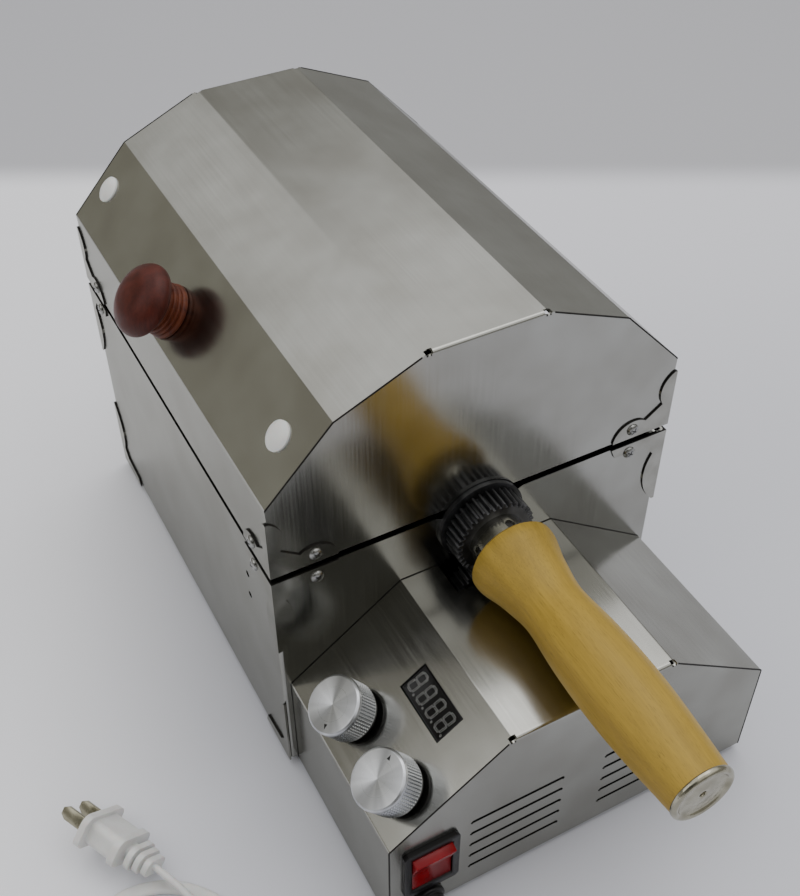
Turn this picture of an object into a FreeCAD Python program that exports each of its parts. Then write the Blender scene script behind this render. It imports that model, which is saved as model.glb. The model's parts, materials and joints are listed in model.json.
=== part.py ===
"""Home coffee bean roaster, a parametric FreeCAD macro in millimetres.

Frame: X runs along the drum's axis, towards the wooden handle.  The lid's knob and the
control knobs face -Y and the lid's hinges are at +Y.  Z is up, and the origin lies on
the countertop, under the middle of the roasting box.
"""
import FreeCAD
import Part
import math
import os
import re

import Sketcher
from FreeCAD import Placement, Rotation, Vector

DOC = FreeCAD.newDocument("coffee_roaster")
SHEET = DOC.addObject("Spreadsheet::Sheet", "sizes")
ALIASES = []
ROUND = "round"
NODES = {}
WORD = re.compile(r"[A-Za-z_][A-Za-z_0-9]*")
UP = Rotation()
ALONG_X = Rotation(Vector(0, 1, 0), 90)
AGAINST_X = Rotation(Vector(0, 1, 0), -90)
ALONG_Y = Rotation(Vector(1, 0, 0), -90)
AGAINST_Y = Rotation(Vector(1, 0, 0), 90)
DOWN = Rotation(Vector(1, 0, 0), 180)


# --- the sheet of sizes -----------------------------------------------------------------
class Sizes:
    """Driving dimensions, in millimetres and degrees, that the sheet holds for every sub-part."""

    sheet = 1.0  # thickness of the stainless sheet
    fold_radius = 1.6  # outside radius of a fold in the sheet
    relief_radius = 1.7  # radius of the corner relief cut where three folds meet
    relief_extra = 0.6  # how much deeper than the fold the relief is cut
    over = 1.0  # how far a cutter reaches past what it cuts
    foot_height = 4.0  # height of a rubber foot
    foot_radius = 9.0  # radius of a rubber foot
    foot_inset = 14.0  # from an edge of the box to a foot's centre
    foot_taper = 1.0  # difference between a foot's two radii
    foot_shift = 3.0  # housing's feet further out than the box's
    body_length = 228.0  # roasting box along the drum's axis
    body_width = 190.0  # roasting box from side to side
    body_height = 123.2  # base tub without its feet
    lid_gap = 3.6  # gap between the tub's rim and the lid
    lid_side = 37.1  # upright side of the lid
    roof_facet = 43.3  # width of each sloping facet of the lid
    lower_slope = 47.0  # angle of the lid's lower facets
    upper_slope = 23.6  # angle of the lid's upper facets
    axis_drop = 8.9  # drum's axis below the tub's rim
    notch_radius = 17.0  # U notch for a drum bush in the tub's end walls
    notch_lead = 4.0  # width of the notch's lead-in chamfer at the rim
    side_hole_inset = 29.5  # two small holes in the tub's side wall, from its front end
    side_hole_low = 86.2  # lower small hole above the tub's base
    side_hole_high = 99.5  # upper small hole above the tub's base
    side_hole_radius = 1.6  # radius of a small hole
    wire_hole_side = 60.0  # wire passage from the mid plane
    wire_hole_rise = 30.0  # wire passage above the tub's base
    wire_hole_radius = 5.0  # radius of the wire passage
    probe_side = 60.0  # thermocouple from the mid plane
    probe_rise = 46.0  # thermocouple above the tub's base
    probe_seat = 0.1  # radial clearance of the thermocouple in its wall
    probe_radius = 2.0  # stem of the thermocouple
    probe_length = 34.0  # length of the stem
    probe_reach = 30.0  # stem's start inside the wall
    probe_barrel_radius = 4.0  # threaded barrel of the thermocouple
    probe_barrel_length = 9.0  # length of the barrel
    probe_barrel_reach = 4.0  # barrel's start inside the wall
    probe_nut_radius = 6.5  # corners of the thermocouple's nut
    probe_nut_height = 4.0  # height of the nut
    lid_notch_radius = 20.4  # arc cut in the lid's end walls over the bushes
    plug_hole_radius = 4.0  # hole for a snap-in plug
    knob_hole_radius = 2.2  # hole for the lid knob's screw
    cover_length = 90.1  # control housing along X
    cover_width = 183.0  # control housing from side to side
    cover_side = 55.7  # upright side of the control housing
    cover_height = 94.2  # top of the control housing above its base
    cover_top_width = 75.6  # flat top of the control housing
    pinion_slot_length = 17.0  # opening over the pinion, along X
    pinion_slot_width = 40.0  # opening over the pinion, along Y
    pot_hole_radius = 3.6  # hole for a potentiometer's neck
    cover_screw_near = 12.0  # housing's first screw from the box
    cover_screw_far = 58.0  # housing's second screw from the box
    cover_screw_inset = 9.0  # housing's screws from its side
    base_flange = 14.0  # upturned flange of the bottom plate
    base_flange_inset = 2.0  # flange shorter than the plate, at each end
    vent_count = 5  # vent slots on each side of the front panel
    vent_pitch = 8.6  # distance from slot to slot
    vent_width = 1.8  # height of a vent slot
    vent_length = 44.0  # length of a vent slot
    vent_inset = 32.3  # from the mid plane to a vent slot's middle
    vent_bottom = 13.8  # lowest vent slot above the housing's base
    liner_gap = 6.0  # air gap between the tub's walls and the reflector
    liner_sheet = 0.8  # thickness of the reflector
    liner_drop = 2.0  # reflector's lip below the tub's rim
    liner_play = 1.0  # reflector shorter than the room between the walls
    liner_bevel = 36.0  # width of the reflector's bevelled lower corners
    liner_bevel_rise = 48.0  # height of the reflector's bevelled lower corners
    heater_radius = 6.0  # radius of a quartz heating tube
    heater_spread = 35.0  # from the mid plane to a heating tube
    heater_lift = 15.0  # heating tube's axis above the reflector
    heater_length = 196.0  # length of a heating tube
    heater_play = 0.15  # radial clearance of a tube in its bracket
    heater_bracket_inset = 6.0  # bracket from the tube's end
    heater_bracket_sheet = 1.0  # thickness of a bracket
    heater_bracket_top = 3.0  # bracket above the tubes
    heater_bracket_side = 11.0  # bracket beyond a tube's axis
    heater_foot = 12.0  # foot of a bracket along X
    heater_foot_inset = 5.0  # foot's end inside a tube's axis
    ceramic_radius = 8.5  # radius of a ceramic end holder
    ceramic_length = 12.0  # length of a ceramic end holder
    ceramic_shift = 4.0  # middle of a holder beyond the tube's end
    drum_radius = 74.0  # outside radius of the perforated drum
    drum_length = 190.0  # length of the drum
    drum_sheet = 1.0  # thickness of the drum's wall
    drum_slot_rows = 6  # rows of slots along the drum
    drum_slot_columns = 16  # columns of slots around the drum
    drum_slot_length = 20.0  # length of a slot in the drum
    drum_slot_width = 4.0  # width of a slot in the drum
    drum_slot_pitch = 30.0  # distance from row to row of slots
    plate_inset = 1.0  # drum's end plate inside the drum's end
    plate_sheet = 1.5  # thickness of the drum's end plates
    plate_slits = 8  # slits in an end plate
    slit_width = 4.0  # width of a slit
    slit_inner = 30.0  # inner end of a slit from the axis
    slit_outer = 58.0  # outer end of a slit from the axis
    drum_hub_wall = 5.0  # wall of an end plate's hub
    drum_hub_length = 9.0  # length of an end plate's hub
    hatch_length = 60.0  # hatch opening along the drum
    hatch_angle = 54.0  # hatch opening around the drum, in degrees
    hatch_lap = 6.0  # overlap of the hatch on the drum along X
    hatch_side_lap = 4.0  # overlap of the hatch on the drum at each side, in degrees
    slide_gap = 0.3  # clearance between the hatch and what it slides on
    tab_sheet = 1.2  # thickness of the hatch's finger tab
    tab_width = 22.0  # width of the tab
    tab_height = 6.4  # height of the tab with its root
    tab_root = 1.0  # root of the tab inside the hatch
    tab_inset = 2.0  # tab's middle from the hatch's edge
    rail_sheet = 0.9  # thickness of a hatch rail's lip
    rail_length = 152.0  # length of a hatch rail
    rail_overrun = 4.0  # rail's end beyond the closed hatch
    rail_gap_angle = 0.5  # clearance between the hatch's edge and a rail, in degrees
    rail_web_angle = 2.0  # web of a rail around the drum, in degrees
    rail_lip_angle = 4.0  # lip of a rail around the drum, in degrees
    vane_height = 14.0  # height of a stirring vane
    vane_count = 3  # stirring vanes in the drum
    vane_sheet = 1.2  # thickness of a vane
    vane_gap = 0.05  # vane's edge from the drum's wall
    vane_end_gap = 0.2  # vane's end from an end plate
    shaft_radius = 6.0  # drum shaft
    shaft_stub = 9.0  # shaft's far end beyond the rear bush
    shaft_collar_wall = 5.0  # wall of the shaft collar
    shaft_collar_length = 7.0  # length of the shaft collar
    shaft_collar_gap = 0.6  # collar's clearance from the rear bush
    running_gap = 0.05  # radial clearance of a shaft in its bush
    seat_gap = 0.1  # radial clearance of a bush in its notch
    bush_flange_radius = 20.0  # flange of a drum bush
    bush_flange = 2.2  # thickness of a drum bush's flange
    bush_barrel = 4.0  # bush's barrel inside the wall
    bush_bore_start = 6.0  # start of the bore's cutter inside the wall
    bush_bore = 12.0  # length of the bore's cutter beyond the sheet
    gear_teeth = 35  # teeth of the drum's gear and of the pinion
    gear_module = 1.0  # module of the gear pair
    gear_width = 10.0  # face width of the drum's gear
    gear_inset = 3.4  # from the end wall to the drum's gear
    gear_play = 0.15  # added centre distance of the gear pair
    gear_root = 1.25  # tooth's root below the pitch circle, in modules
    gear_tip = 1.0  # tooth's tip above the pitch circle, in modules
    gear_lap = 0.3  # tooth's start below the root circle
    pressure_angle = 20.0  # pressure angle of the teeth, in degrees
    hub_radius = 12.5  # hub in front of the drum's gear
    hub_length = 11.2  # length of the hub
    set_hole_radius = 2.1  # threaded hole for a set screw
    set_hole_length = 30.0  # length of the hole's cutter
    set_screw_radius = 2.05  # radius of a set screw
    set_screw_sink = 1.4  # set screw below the hub's surface
    handle_gap = 0.2  # clearance between the hub and the handle
    pinion_width = 8.6  # face width of the motor's pinion
    handle_length = 123.9  # turned wooden handle without its end cap
    handle_flare = 19.1  # radius of the handle's flared inner end
    handle_neck = 13.6  # radius of the handle's neck
    handle_swell = 15.8  # radius of the handle's swelling
    handle_tip = 13.0  # radius of the handle's outer end
    handle_edge = 1.4  # rounded edge of the flared end
    handle_bore = 90.0  # depth of the shaft's bore in the handle
    handle_socket = 9.0  # depth of the socket for the cap's stem
    cap_thickness = 2.6  # height of the handle's nickelled end cap
    cap_dome = 0.45  # rise of the cap's domed face over a straight one
    cap_recess = 1.5  # radius of the recess in the middle of the cap
    cap_stem = 8.0  # stem of the cap inside the handle
    cap_stem_radius = 4.0  # radius of the stem
    cap_recess_depth = 1.0  # depth of the recess
    cap_radius = 13.4  # radius of the handle's end cap
    knob_base_radius = 12.3  # lid knob where it meets the lid
    knob_head_radius = 15.8  # lid knob's head
    knob_height = 24.0  # lid knob from the lid to its crown
    knob_bead = 2.4  # height of one bead of the neck
    knob_bead_bow = 0.7  # how far a bead bows out
    knob_first_step = 0.2  # neck narrower above the first bead
    knob_second_step = 0.5  # neck narrower above the second bead
    knob_third_step = 1.2  # neck narrower under the head
    knob_hollow = 0.5  # how far the groove under the head bows in
    knob_shoulder = 0.4  # head's lower edge wider than the base
    knob_shoulder_rise = 1.2  # head's lower edge above the groove
    knob_shoulder_bow = 0.9  # how far the head's underside bows out
    knob_wide_rise = 6.2  # head's widest place above the neck
    knob_crown_bow = 3.2  # how far the crown bows out
    knob_crown_radius = 1.5  # small flat at the top of the crown
    knob_screw_radius = 2.0  # shank of the lid knob's screw
    knob_screw_depth = 12.0  # shank inside the knob
    knob_screw_head = 4.5  # radius of that screw's head
    knob_screw_head_height = 2.4  # height of that head
    knob_back = 5.2  # lid knob behind the box's middle
    knob_rise = 13.4  # lid knob up the lower facet from the eave
    plug_radius = 6.3  # head of a snap-in hole plug
    plug_rise = 22.4  # hole plugs up the lower facet from the eave
    plug_front_inset = 18.6  # front hole plug from the lid's end
    plug_rear_inset = 12.6  # rear hole plug from the lid's end
    plug_stem = 4.0  # hole plug's stem below the sheet's outside
    plug_stem_tip = 3.4  # radius of the stem's tip
    plug_stem_radius = 3.9  # radius of the stem in its hole
    plug_snap = 0.2  # stem's widest place below the sheet
    plug_rim = 0.8  # height of the plug's rim
    plug_bow = 0.45  # how far the plug's head bows out
    plug_crown = 2.6  # height of the plug's head
    plug_crown_radius = 1.0  # small flat at the top of the head
    dial_radius = 12.5  # aluminium control knob
    dial_height = 15.5  # height of an aluminium control knob
    dial_rise = 18.1  # control knobs up the slope from the eave
    dial_front_inset = 17.3  # front control knob from the housing's front
    dial_rear_inset = 55.8  # rear control knob from the housing's front
    dial_lift = 2.4  # control knob above the panel
    dial_seat = 7.0  # underside of a knob's core above the panel
    dial_hollow = 8.0  # radius of the hollow under a knob
    dial_edge = 0.9  # bevel of a knob's upper edge
    dial_bore_top = 13.0  # top of a knob's bore above the panel
    dial_shaft_radius = 3.0  # shaft of a potentiometer
    dial_shaft_top = 12.0  # shaft's top above the panel
    dial_shaft_start = 3.5  # shaft's start behind the sheet
    pot_radius = 8.0  # can of a potentiometer
    pot_depth = 8.5  # depth of that can
    pot_neck_radius = 3.5  # threaded neck of a potentiometer
    pot_neck = 5.0  # neck above the panel
    pot_bore_depth = 5.0  # start of the shaft's bore behind the sheet
    pot_bore = 12.0  # length of that bore beyond the sheet
    pot_nut_radius = 5.8  # corners of a potentiometer's nut
    pot_nut_height = 2.0  # height of that nut
    display_length = 30.2  # four-digit display module
    display_width = 14.0  # width of the display module
    display_depth = 7.2  # depth of the display module
    display_rise = 47.3  # display up the slope from the eave
    display_inset = 36.4  # display from the housing's front
    display_play = 0.2  # clearance of the display in its window
    display_sink = 0.3  # display's face below the panel
    display_rim = 1.0  # rim around the display's face
    display_recess = 0.4  # face below that rim
    display_board_long = 3.0  # display's board beyond the module, at each end
    display_board_wide = 4.0  # display's board beyond the module, at each side
    switch_width = 25.0  # rocker switch bezel from side to side
    switch_height = 32.0  # rocker switch bezel, upright
    switch_side = 72.9  # rocker switch from the mid plane
    switch_rise = 32.5  # rocker switch above the housing's base
    switch_window_inset = 1.5  # window in the panel inside the bezel's edge
    switch_shank_inset = 1.7  # switch's shank inside the bezel's edge
    switch_depth = 22.0  # depth of the shank
    bezel_corner = 1.6  # bevelled corner of the bezel
    bezel_height = 2.0  # height of the bezel
    terminal_length = 8.0  # blade terminal behind the switch
    terminal_width = 6.3  # width of a blade terminal
    terminal_sheet = 0.8  # thickness of a blade terminal
    terminal_pitch = 8.0  # distance between the terminals
    rocker_radius = 12.0  # rocker's ends around its pivot
    rocker_width = 18.2  # rocker from side to side
    rocker_tilt = 10.0  # rocker's tilt each side of its middle
    rocker_side_gap = 0.3  # clearance beside the rocker
    rocker_end_gap = 0.4  # clearance around the rocker's ends
    rocker_well = 12.5  # depth of the well that the rocker sits in
    rocker_crown_angle = 20.0  # rocker's front edge from its upright, in degrees
    rocker_root_angle = 25.0  # rocker's rear edge from its upright, in degrees
    rocker_back = 0.6  # rocker's ends behind its pivot
    rocker_crease = 1.3  # crease of the rocker's face before its pivot
    gland_radius = 6.8  # head of the cord bushing
    gland_side = 73.6  # cord bushing from the mid plane
    gland_rise = 7.6  # cord bushing above the housing's base
    gland_hole_inset = 1.8  # hole for the bushing inside its head's edge
    gland_head = 2.6  # thickness of the bushing's head
    gland_neck_inset = 1.9  # bushing's neck inside its head's edge
    gland_neck = 5.0  # neck behind the sheet
    gland_sleeve = 22.0  # length of the bushing's sleeve
    gland_sleeve_inset = 1.4  # sleeve's root inside the head's edge
    gland_tip_wall = 1.0  # sleeve's wall around the cord at its tip
    cord_radius = 3.0  # radius of the mains cord
    coil_inner = 20.4  # innermost turn of the coiled cord
    coil_outer = 42.0  # outermost turn of the coiled cord
    plug_length = 20.0  # body of the mains plug with its flange
    plug_flange = 3.0  # thickness of the plug's flange
    flange_width = 27.8  # flange of the plug along the line of its blades
    flange_height = 15.2  # flange of the plug across its blades
    plug_width = 19.5  # body of the plug behind its flange
    plug_height = 11.5  # height of that body
    heel_length = 3.4  # thick heel at the cord's end of the plug's body
    heel_width = 23.6  # width of the heel
    heel_height = 13.0  # height of the heel
    plug_relief = 13.4  # slotted strain relief of the mains plug
    plug_core_start = 0.4  # core of the relief from the cord's end
    relief_collars = 3  # collars of the relief
    collar_length = 2.6  # one collar along the cord
    relief_width = 18.0  # relief where it leaves the heel
    relief_height = 10.6  # height of the relief there
    relief_taper = 0.26  # share of its width that the relief loses up to the cord
    blade_length = 14.0  # blade of the mains plug
    blade_spread = 12.7  # distance between the blades
    blade_root = 2.0  # blade's end inside the moulding
    blade_sheet = 1.5  # thickness of a blade
    blade_width = 6.3  # width of a blade
    motor_radius = 18.5  # gear motor
    motor_offset = 7.0  # gear motor's body below its shaft
    gearbox_length = 24.0  # length of the motor's gearbox
    motor_length = 30.0  # length of the motor behind its gearbox
    motor_face = 20.0  # gearbox's face from the box
    motor_can_inset = 2.0  # motor's can inside the gearbox's edge
    motor_tail_radius = 5.0  # bearing boss at the motor's end
    motor_tail = 3.0  # length of that boss
    motor_boss_radius = 6.0  # boss around the gearbox's shaft
    motor_boss = 3.4  # length of that boss
    motor_boss_gap = 0.5  # clearance of the boss in the bracket
    motor_shaft_radius = 3.0  # output shaft
    motor_shaft_inside = 11.0  # output shaft inside the gearbox
    motor_shaft_tip = 1.0  # output shaft beyond the pinion
    motor_bore = 16.0  # length of the shaft's bore
    motor_plate = 3.0  # thickness of the motor's bracket
    motor_plate_width = 44.0  # width of the bracket
    motor_plate_top = 1.0  # bracket above the gearbox
    motor_foot = 30.0  # foot of the bracket along X
    motor_screw_circle = 15.5  # screws of the gearbox from its middle
    board_sheet = 1.6  # thickness of a circuit board
    board_length = 48.0  # control board along X
    board_width = 52.0  # control board along Y
    board_middle = 32.0  # control board's middle from the box
    board_side = 58.0  # control board's middle from the mid plane
    spacer_radius = 2.5  # spacer under the control board
    spacer_height = 6.0  # height of a spacer
    spacer_inset = 4.0  # spacers from the board's edges
    relay_length = 19.0  # relay along X
    relay_width = 15.0  # relay along Y
    relay_height = 15.0  # height of the relay
    relay_back = 10.0  # relay behind the board's middle
    relay_out = 12.0  # relay outside the board's middle
    capacitor_radius = 5.0  # radius of the capacitor
    capacitor_height = 14.0  # height of the capacitor
    capacitor_fore = 13.0  # capacitor before the board's middle
    capacitor_in = 10.0  # capacitor inside the board's middle
    supply_length = 72.0  # power supply along X
    supply_width = 44.0  # power supply along Y
    supply_height = 28.0  # height of the power supply
    supply_middle = 44.0  # power supply's middle from the box
    supply_side = 56.0  # power supply's middle from the mid plane
    hinge_spread = 70.0  # hinges from the middle of the box
    hinge_length = 34.0  # length of a hinge
    hinge_leaf = 20.0  # height of a hinge leaf
    hinge_sheet = 1.2  # thickness of a hinge leaf
    knuckle_radius = 2.9  # outside radius of a hinge knuckle
    pin_radius = 1.5  # hinge pin
    pin_stand = 0.5  # hinge pin beyond the knuckles, at each end
    knuckle_gap = 0.4  # clearance beside the middle knuckle
    web_lap = 0.6  # leaf's web from the pin's axis
    guard_sheet = 0.8  # thickness of a corner guard
    guard_foot = 28.8  # corner guard along the rim of an end wall
    guard_side_foot = 26.0  # corner guard along the rim of a side wall
    lid_guard_height = 30.2  # corner guard up the lid's corner
    body_guard_height = 42.7  # corner guard along the tub's corner
    guard_tip = 0.6  # width of a guard's tip on its face
    guard_screw_rise = 0.17  # screw above the guard's foot, as a share of the foot
    guard_screw_back = 0.66  # screw from the corner, as a share of the foot
    screw_radius = 2.9  # head of a sheet screw
    screw_taper = 0.9  # difference between a screw head's two radii
    screw_height = 1.3  # height of a screw head


for row, (alias, value) in enumerate([pair for pair in vars(Sizes).items() if pair[0][0] != "_"], 1):
    SHEET.set(f"A{row}", alias.replace("_", " "))
    SHEET.set(f"B{row}", str(value))
    SHEET.setAlias(f"B{row}", alias)
    ALIASES.append(alias)
DOC.recompute()

# Places worked out from the driving dimensions, as text for the expression engine.
BASE = "foot_height"
RIM = "(foot_height + body_height)"
AXIS = f"({RIM} - axis_drop)"
LID_FOOT = f"({RIM} + lid_gap)"
EAVE = f"({LID_FOOT} + lid_side)"
FRONT = "(body_length / 2)"
SIDE = "(body_width / 2)"
ROOF_RUN = "(roof_facet * cos(lower_slope))"
ROOF_MID_Y = f"({SIDE} - {ROOF_RUN})"
ROOF_MID_Z = f"({EAVE} + roof_facet * sin(lower_slope))"
ROOF_TOP_Y = f"({ROOF_MID_Y} - roof_facet * cos(upper_slope))"
ROOF_TOP_Z = f"({ROOF_MID_Z} + roof_facet * sin(upper_slope))"
LOWER_SLOPE = "(lower_slope * 1 deg)"
UPPER_SLOPE = "(upper_slope * 1 deg)"
NOSE = f"({FRONT} + cover_length)"
COVER_TOP = f"({BASE} + cover_height)"
COVER_EAVE = f"({BASE} + cover_side)"
COVER_RUN = "((cover_width - cover_top_width) / 2)"
PANEL_SLOPE = f"atan((cover_height - cover_side) / {COVER_RUN})"
GEAR_REAR = f"({FRONT} + gear_inset)"
GEAR_FRONT = f"({GEAR_REAR} + gear_width)"
HANDLE_START = f"({GEAR_FRONT} + hub_length + handle_gap)"
HANDLE_END = f"({HANDLE_START} + handle_length)"
GEAR_CENTRES = "(gear_module * gear_teeth + gear_play)"
PINION_AXIS = f"({AXIS} - {GEAR_CENTRES})"
LINER_FLOOR = f"({BASE} + sheet + liner_gap)"
HEATER_AXIS = f"({LINER_FLOOR} + heater_lift)"
HINGE_Y = f"({SIDE} + knuckle_radius)"
HINGE_Z = f"({RIM} + lid_gap / 2)"


# --- helpers ----------------------------------------------------------------------------
def bound(text):
    """Turn the sheet's aliases in a text into references to its cells."""
    def reference(match):
        word = match.group()
        return f"{SHEET.Name}.{word}" if word in ALIASES else word
    return WORD.sub(reference, str(text))


def number(text):
    """The present value of an expression in the sheet's aliases."""
    return float(SHEET.evalExpression(bound(text)))


def drive(item, **settings):
    """Bind properties of an object to expressions."""
    for name, text in settings.items():
        item.setExpression(name.replace("__", "."), bound(text))
    return item


def stand(item, at=("0", "0", "0"), turn=UP):
    """Place an object at a point given by expressions, turned as asked."""
    item.Placement = Placement(Vector(*[number(text) for text in at]), turn)
    for axis, text in zip("xyz", at):
        item.setExpression(f"Placement.Base.{axis}", bound(text))
    return item


def lean(item, at, angle):
    """Place an object at a point, leaning about X by an angle given as an expression."""
    stand(item, at, Rotation(Vector(1, 0, 0), number(angle)))
    item.setExpression("Placement.Rotation.Angle", bound(angle))
    return item


def block(name, sizes, middle):
    """A box of three sizes around its middle point."""
    box = DOC.addObject("Part::Box", name)
    drive(box, Length=sizes[0], Width=sizes[1], Height=sizes[2])
    corner = [f"({m}) - ({s}) / 2" for m, s in zip(middle, sizes)]
    return stand(box, corner)


def rod(name, radius, length, start, turn=ALONG_X, angle="360"):
    """A cylinder, or a sector of one, from its start point along the turned Z axis."""
    cylinder = DOC.addObject("Part::Cylinder", name)
    drive(cylinder, Radius=radius, Height=length, Angle=angle)
    return stand(cylinder, start, turn)


def cut(name, base, *tools):
    """The base with every tool taken away."""
    result = DOC.addObject("Part::Cut", name)
    result.Base = base
    result.Tool = tools[0] if len(tools) == 1 else fuse(name + "_tools", *tools)
    return result


def fuse(name, *pieces):
    """Several pieces as one solid."""
    result = DOC.addObject("Part::MultiFuse", name)
    result.Shapes = list(pieces)
    return result


def group(name, *pieces):
    """Several separate solids that share a node."""
    result = DOC.addObject("Part::Compound", name)
    result.Links = list(pieces)
    return result


def mirror(name, source, normal, base=("0", "0", "0")):
    """The mirror image of a piece."""
    result = DOC.addObject("Part::Mirroring", name)
    result.Source = source
    result.Normal = normal
    result.Base = Vector(*[number(text) for text in base])
    for axis, text in zip("xyz", base):
        result.setExpression(f"Base.{axis}", bound(text))
    return result


def ring(name, outer, inner, length, start, turn=ALONG_X):
    """A tube between two radii."""
    wall = rod(name + "_outer", outer, length, start, turn)
    bore = rod(name + "_bore", inner, length, start, turn)
    return cut(name, wall, bore)


def node(name, item):
    """Keep an object as the sub-part of this name."""
    item.Label = name
    NODES[name] = item
    return item


def part_body(name):
    """An empty PartDesign body."""
    return DOC.addObject("PartDesign::Body", name + "_body")


def sketch(body, plane, name, offset="0"):
    """A sketch on one of the body's origin planes, shifted along the plane's normal."""
    item = body.newObject("Sketcher::SketchObject", name)
    support = [f for f in body.Origin.OriginFeatures if f.Role == plane][0]
    item.AttachmentSupport = [(support, "")]
    item.MapMode = "FlatFace"
    item.setExpression("AttachmentOffset.Base.z", bound(offset))
    return item


def pin_point(item, geometry, end, x_text, y_text):
    """Hold one end of a sketch's line or arc at a point given by expressions."""
    for kind, text in (("DistanceX", x_text), ("DistanceY", y_text)):
        held = item.addConstraint(Sketcher.Constraint(kind, -1, 1, geometry, end, number(text)))
        item.setExpression(f"Constraints[{held}]", bound(text))


def outline(item, points):
    """Draw a closed outline.  Each point is (x, y) or (x, y, bulge) as expressions.

    A bulge is the height of the arc that runs from this point to the next one; it is
    positive where the arc bows to the right of the way there, and ROUND for a half circle.
    """
    first = item.GeometryCount
    ends = []
    for index, point in enumerate(points):
        here = Vector(number(point[0]), number(point[1]), 0)
        following = points[(index + 1) % len(points)]
        there = Vector(number(following[0]), number(following[1]), 0)
        if len(point) == 2:
            item.addGeometry(Part.LineSegment(here, there))
            ends.append((1, 2))
            continue
        way = there - here
        side = Vector(way.y, -way.x, 0).normalize()
        bow = way.Length / 2 if point[2] == ROUND else number(point[2])
        crown = (here + there) * 0.5 + side * bow
        item.addGeometry(Part.Arc(here, crown, there) if bow > 0 else Part.Arc(there, crown, here))
        ends.append((1, 2) if bow > 0 else (2, 1))
    total = len(points)
    for index, point in enumerate(points):
        following = (index + 1) % total
        item.addConstraint(Sketcher.Constraint(
            "Coincident", first + index, ends[index][1], first + following, ends[following][0]))
    for index, point in enumerate(points):
        pin_point(item, first + index, ends[index][0], point[0], point[1])
        far = points[(index + 1) % total]
        if len(point) == 3 and point[2] == ROUND:
            way_x = number(far[0]) - number(point[0])
            way_y = number(far[1]) - number(point[1])
            kind, which = ("DistanceX", 0) if abs(way_x) < abs(way_y) else ("DistanceY", 1)
            middle = f"(({point[which]}) + ({far[which]})) / 2"
            held = item.addConstraint(
                Sketcher.Constraint(kind, -1, 1, first + index, 3, number(middle)))
            item.setExpression(f"Constraints[{held}]", bound(middle))
        elif len(point) == 3:
            chord = f"((({far[0]}) - ({point[0]}))^2 + (({far[1]}) - ({point[1]}))^2)"
            text = f"{chord} / (8 * abs({point[2]})) + abs({point[2]}) / 2"
            held = item.addConstraint(Sketcher.Constraint("Radius", first + index, number(text)))
            item.setExpression(f"Constraints[{held}]", bound(text))


def circle(item, x_text, y_text, radius):
    """Draw a circle whose centre and radius are expressions."""
    centre = Vector(number(x_text), number(y_text), 0)
    index = item.addGeometry(Part.Circle(centre, Vector(0, 0, 1), number(radius)))
    pin_point(item, index, 3, x_text, y_text)
    held = item.addConstraint(Sketcher.Constraint("Radius", index, number(radius)))
    item.setExpression(f"Constraints[{held}]", bound(radius))


def pad(body, profile, length, centred=False, backwards=False):
    """Extrude a sketch of the body."""
    feature = body.newObject("PartDesign::Pad", profile.Name + "_pad")
    feature.Profile = profile
    feature.SideType = "Symmetric" if centred else "One side"
    feature.Reversed = backwards
    drive(feature, Length=length)
    return feature


def pocket(body, profile, length, centred=False, backwards=False):
    """Cut a sketch's shape out of the body, and check that it removes something."""
    before = number_of_volume(body)
    feature = body.newObject("PartDesign::Pocket", profile.Name + "_pocket")
    feature.Profile = profile
    feature.SideType = "Symmetric" if centred else "One side"
    feature.Reversed = backwards
    drive(feature, Length=length)
    if number_of_volume(body) >= before:
        raise RuntimeError(profile.Name + " cuts nothing")
    return feature


def number_of_volume(body):
    """The body's volume after a recompute."""
    DOC.recompute()
    return body.Shape.Volume


def revolve(body, profile, role="X_Axis"):
    """Turn a sketch once around one of the body's origin axes."""
    feature = body.newObject("PartDesign::Revolution", profile.Name + "_turned")
    feature.Profile = profile
    axis = [f for f in body.Origin.OriginFeatures if f.Role == role][0]
    feature.ReferenceAxis = (axis, [""])
    feature.Angle = 360
    return feature


def round_edges(body, feature, radius, wanted):
    """Fillet the feature's edges that the test picks."""
    DOC.recompute()
    names = [f"Edge{i + 1}" for i, edge in enumerate(feature.Shape.Edges) if wanted(edge)]
    fillet = body.newObject("PartDesign::Fillet", feature.Name + "_folds")
    fillet.Base = (feature, names)
    drive(fillet, Radius=radius)
    return fillet


def hollow(body, feature, wanted, wall):
    """Leave a wall inside the feature, open at the faces that the test picks."""
    DOC.recompute()
    names = [f"Face{i + 1}" for i, face in enumerate(feature.Shape.Faces) if wanted(face)]
    shell = body.newObject("PartDesign::Thickness", feature.Name + "_shell")
    shell.Base = (feature, names)
    shell.Reversed = True
    shell.Join = "Intersection"
    drive(shell, Value=wall)
    return shell


def inside(y_text, z_text, first, second):
    """The inner corner of the sheet at a fold between two slopes, at positive y."""
    mean, spread = f"(({first}) + ({second})) / 2", f"(({first}) - ({second})) / 2"
    return (f"{y_text} - sheet * sin({mean}) / cos({spread})",
            f"{z_text} - sheet * cos({mean}) / cos({spread})")


def both_sides(half):
    """A closed outline from the points of its half at positive y."""
    return half + [(f"-({p[0]})", p[1]) for p in half[::-1]]


def runs_along(edge, axis):
    """Whether an edge is a straight line along an axis."""
    if edge.Curve.TypeId != "Part::GeomLine":
        return False
    return abs(edge.Curve.Direction.dot(axis)) > 0.999


def polar(body, feature, count, role="X_Axis"):
    """Repeat a feature around one of the body's origin axes."""
    pattern = body.newObject("PartDesign::PolarPattern", feature.Name + "_around")
    pattern.Originals = [feature]
    axis = [f for f in body.Origin.OriginFeatures if f.Role == role][0]
    pattern.Axis = (axis, [""])
    pattern.Angle = 360
    drive(pattern, Occurrences=count)
    body.Tip = pattern
    return pattern


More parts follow.
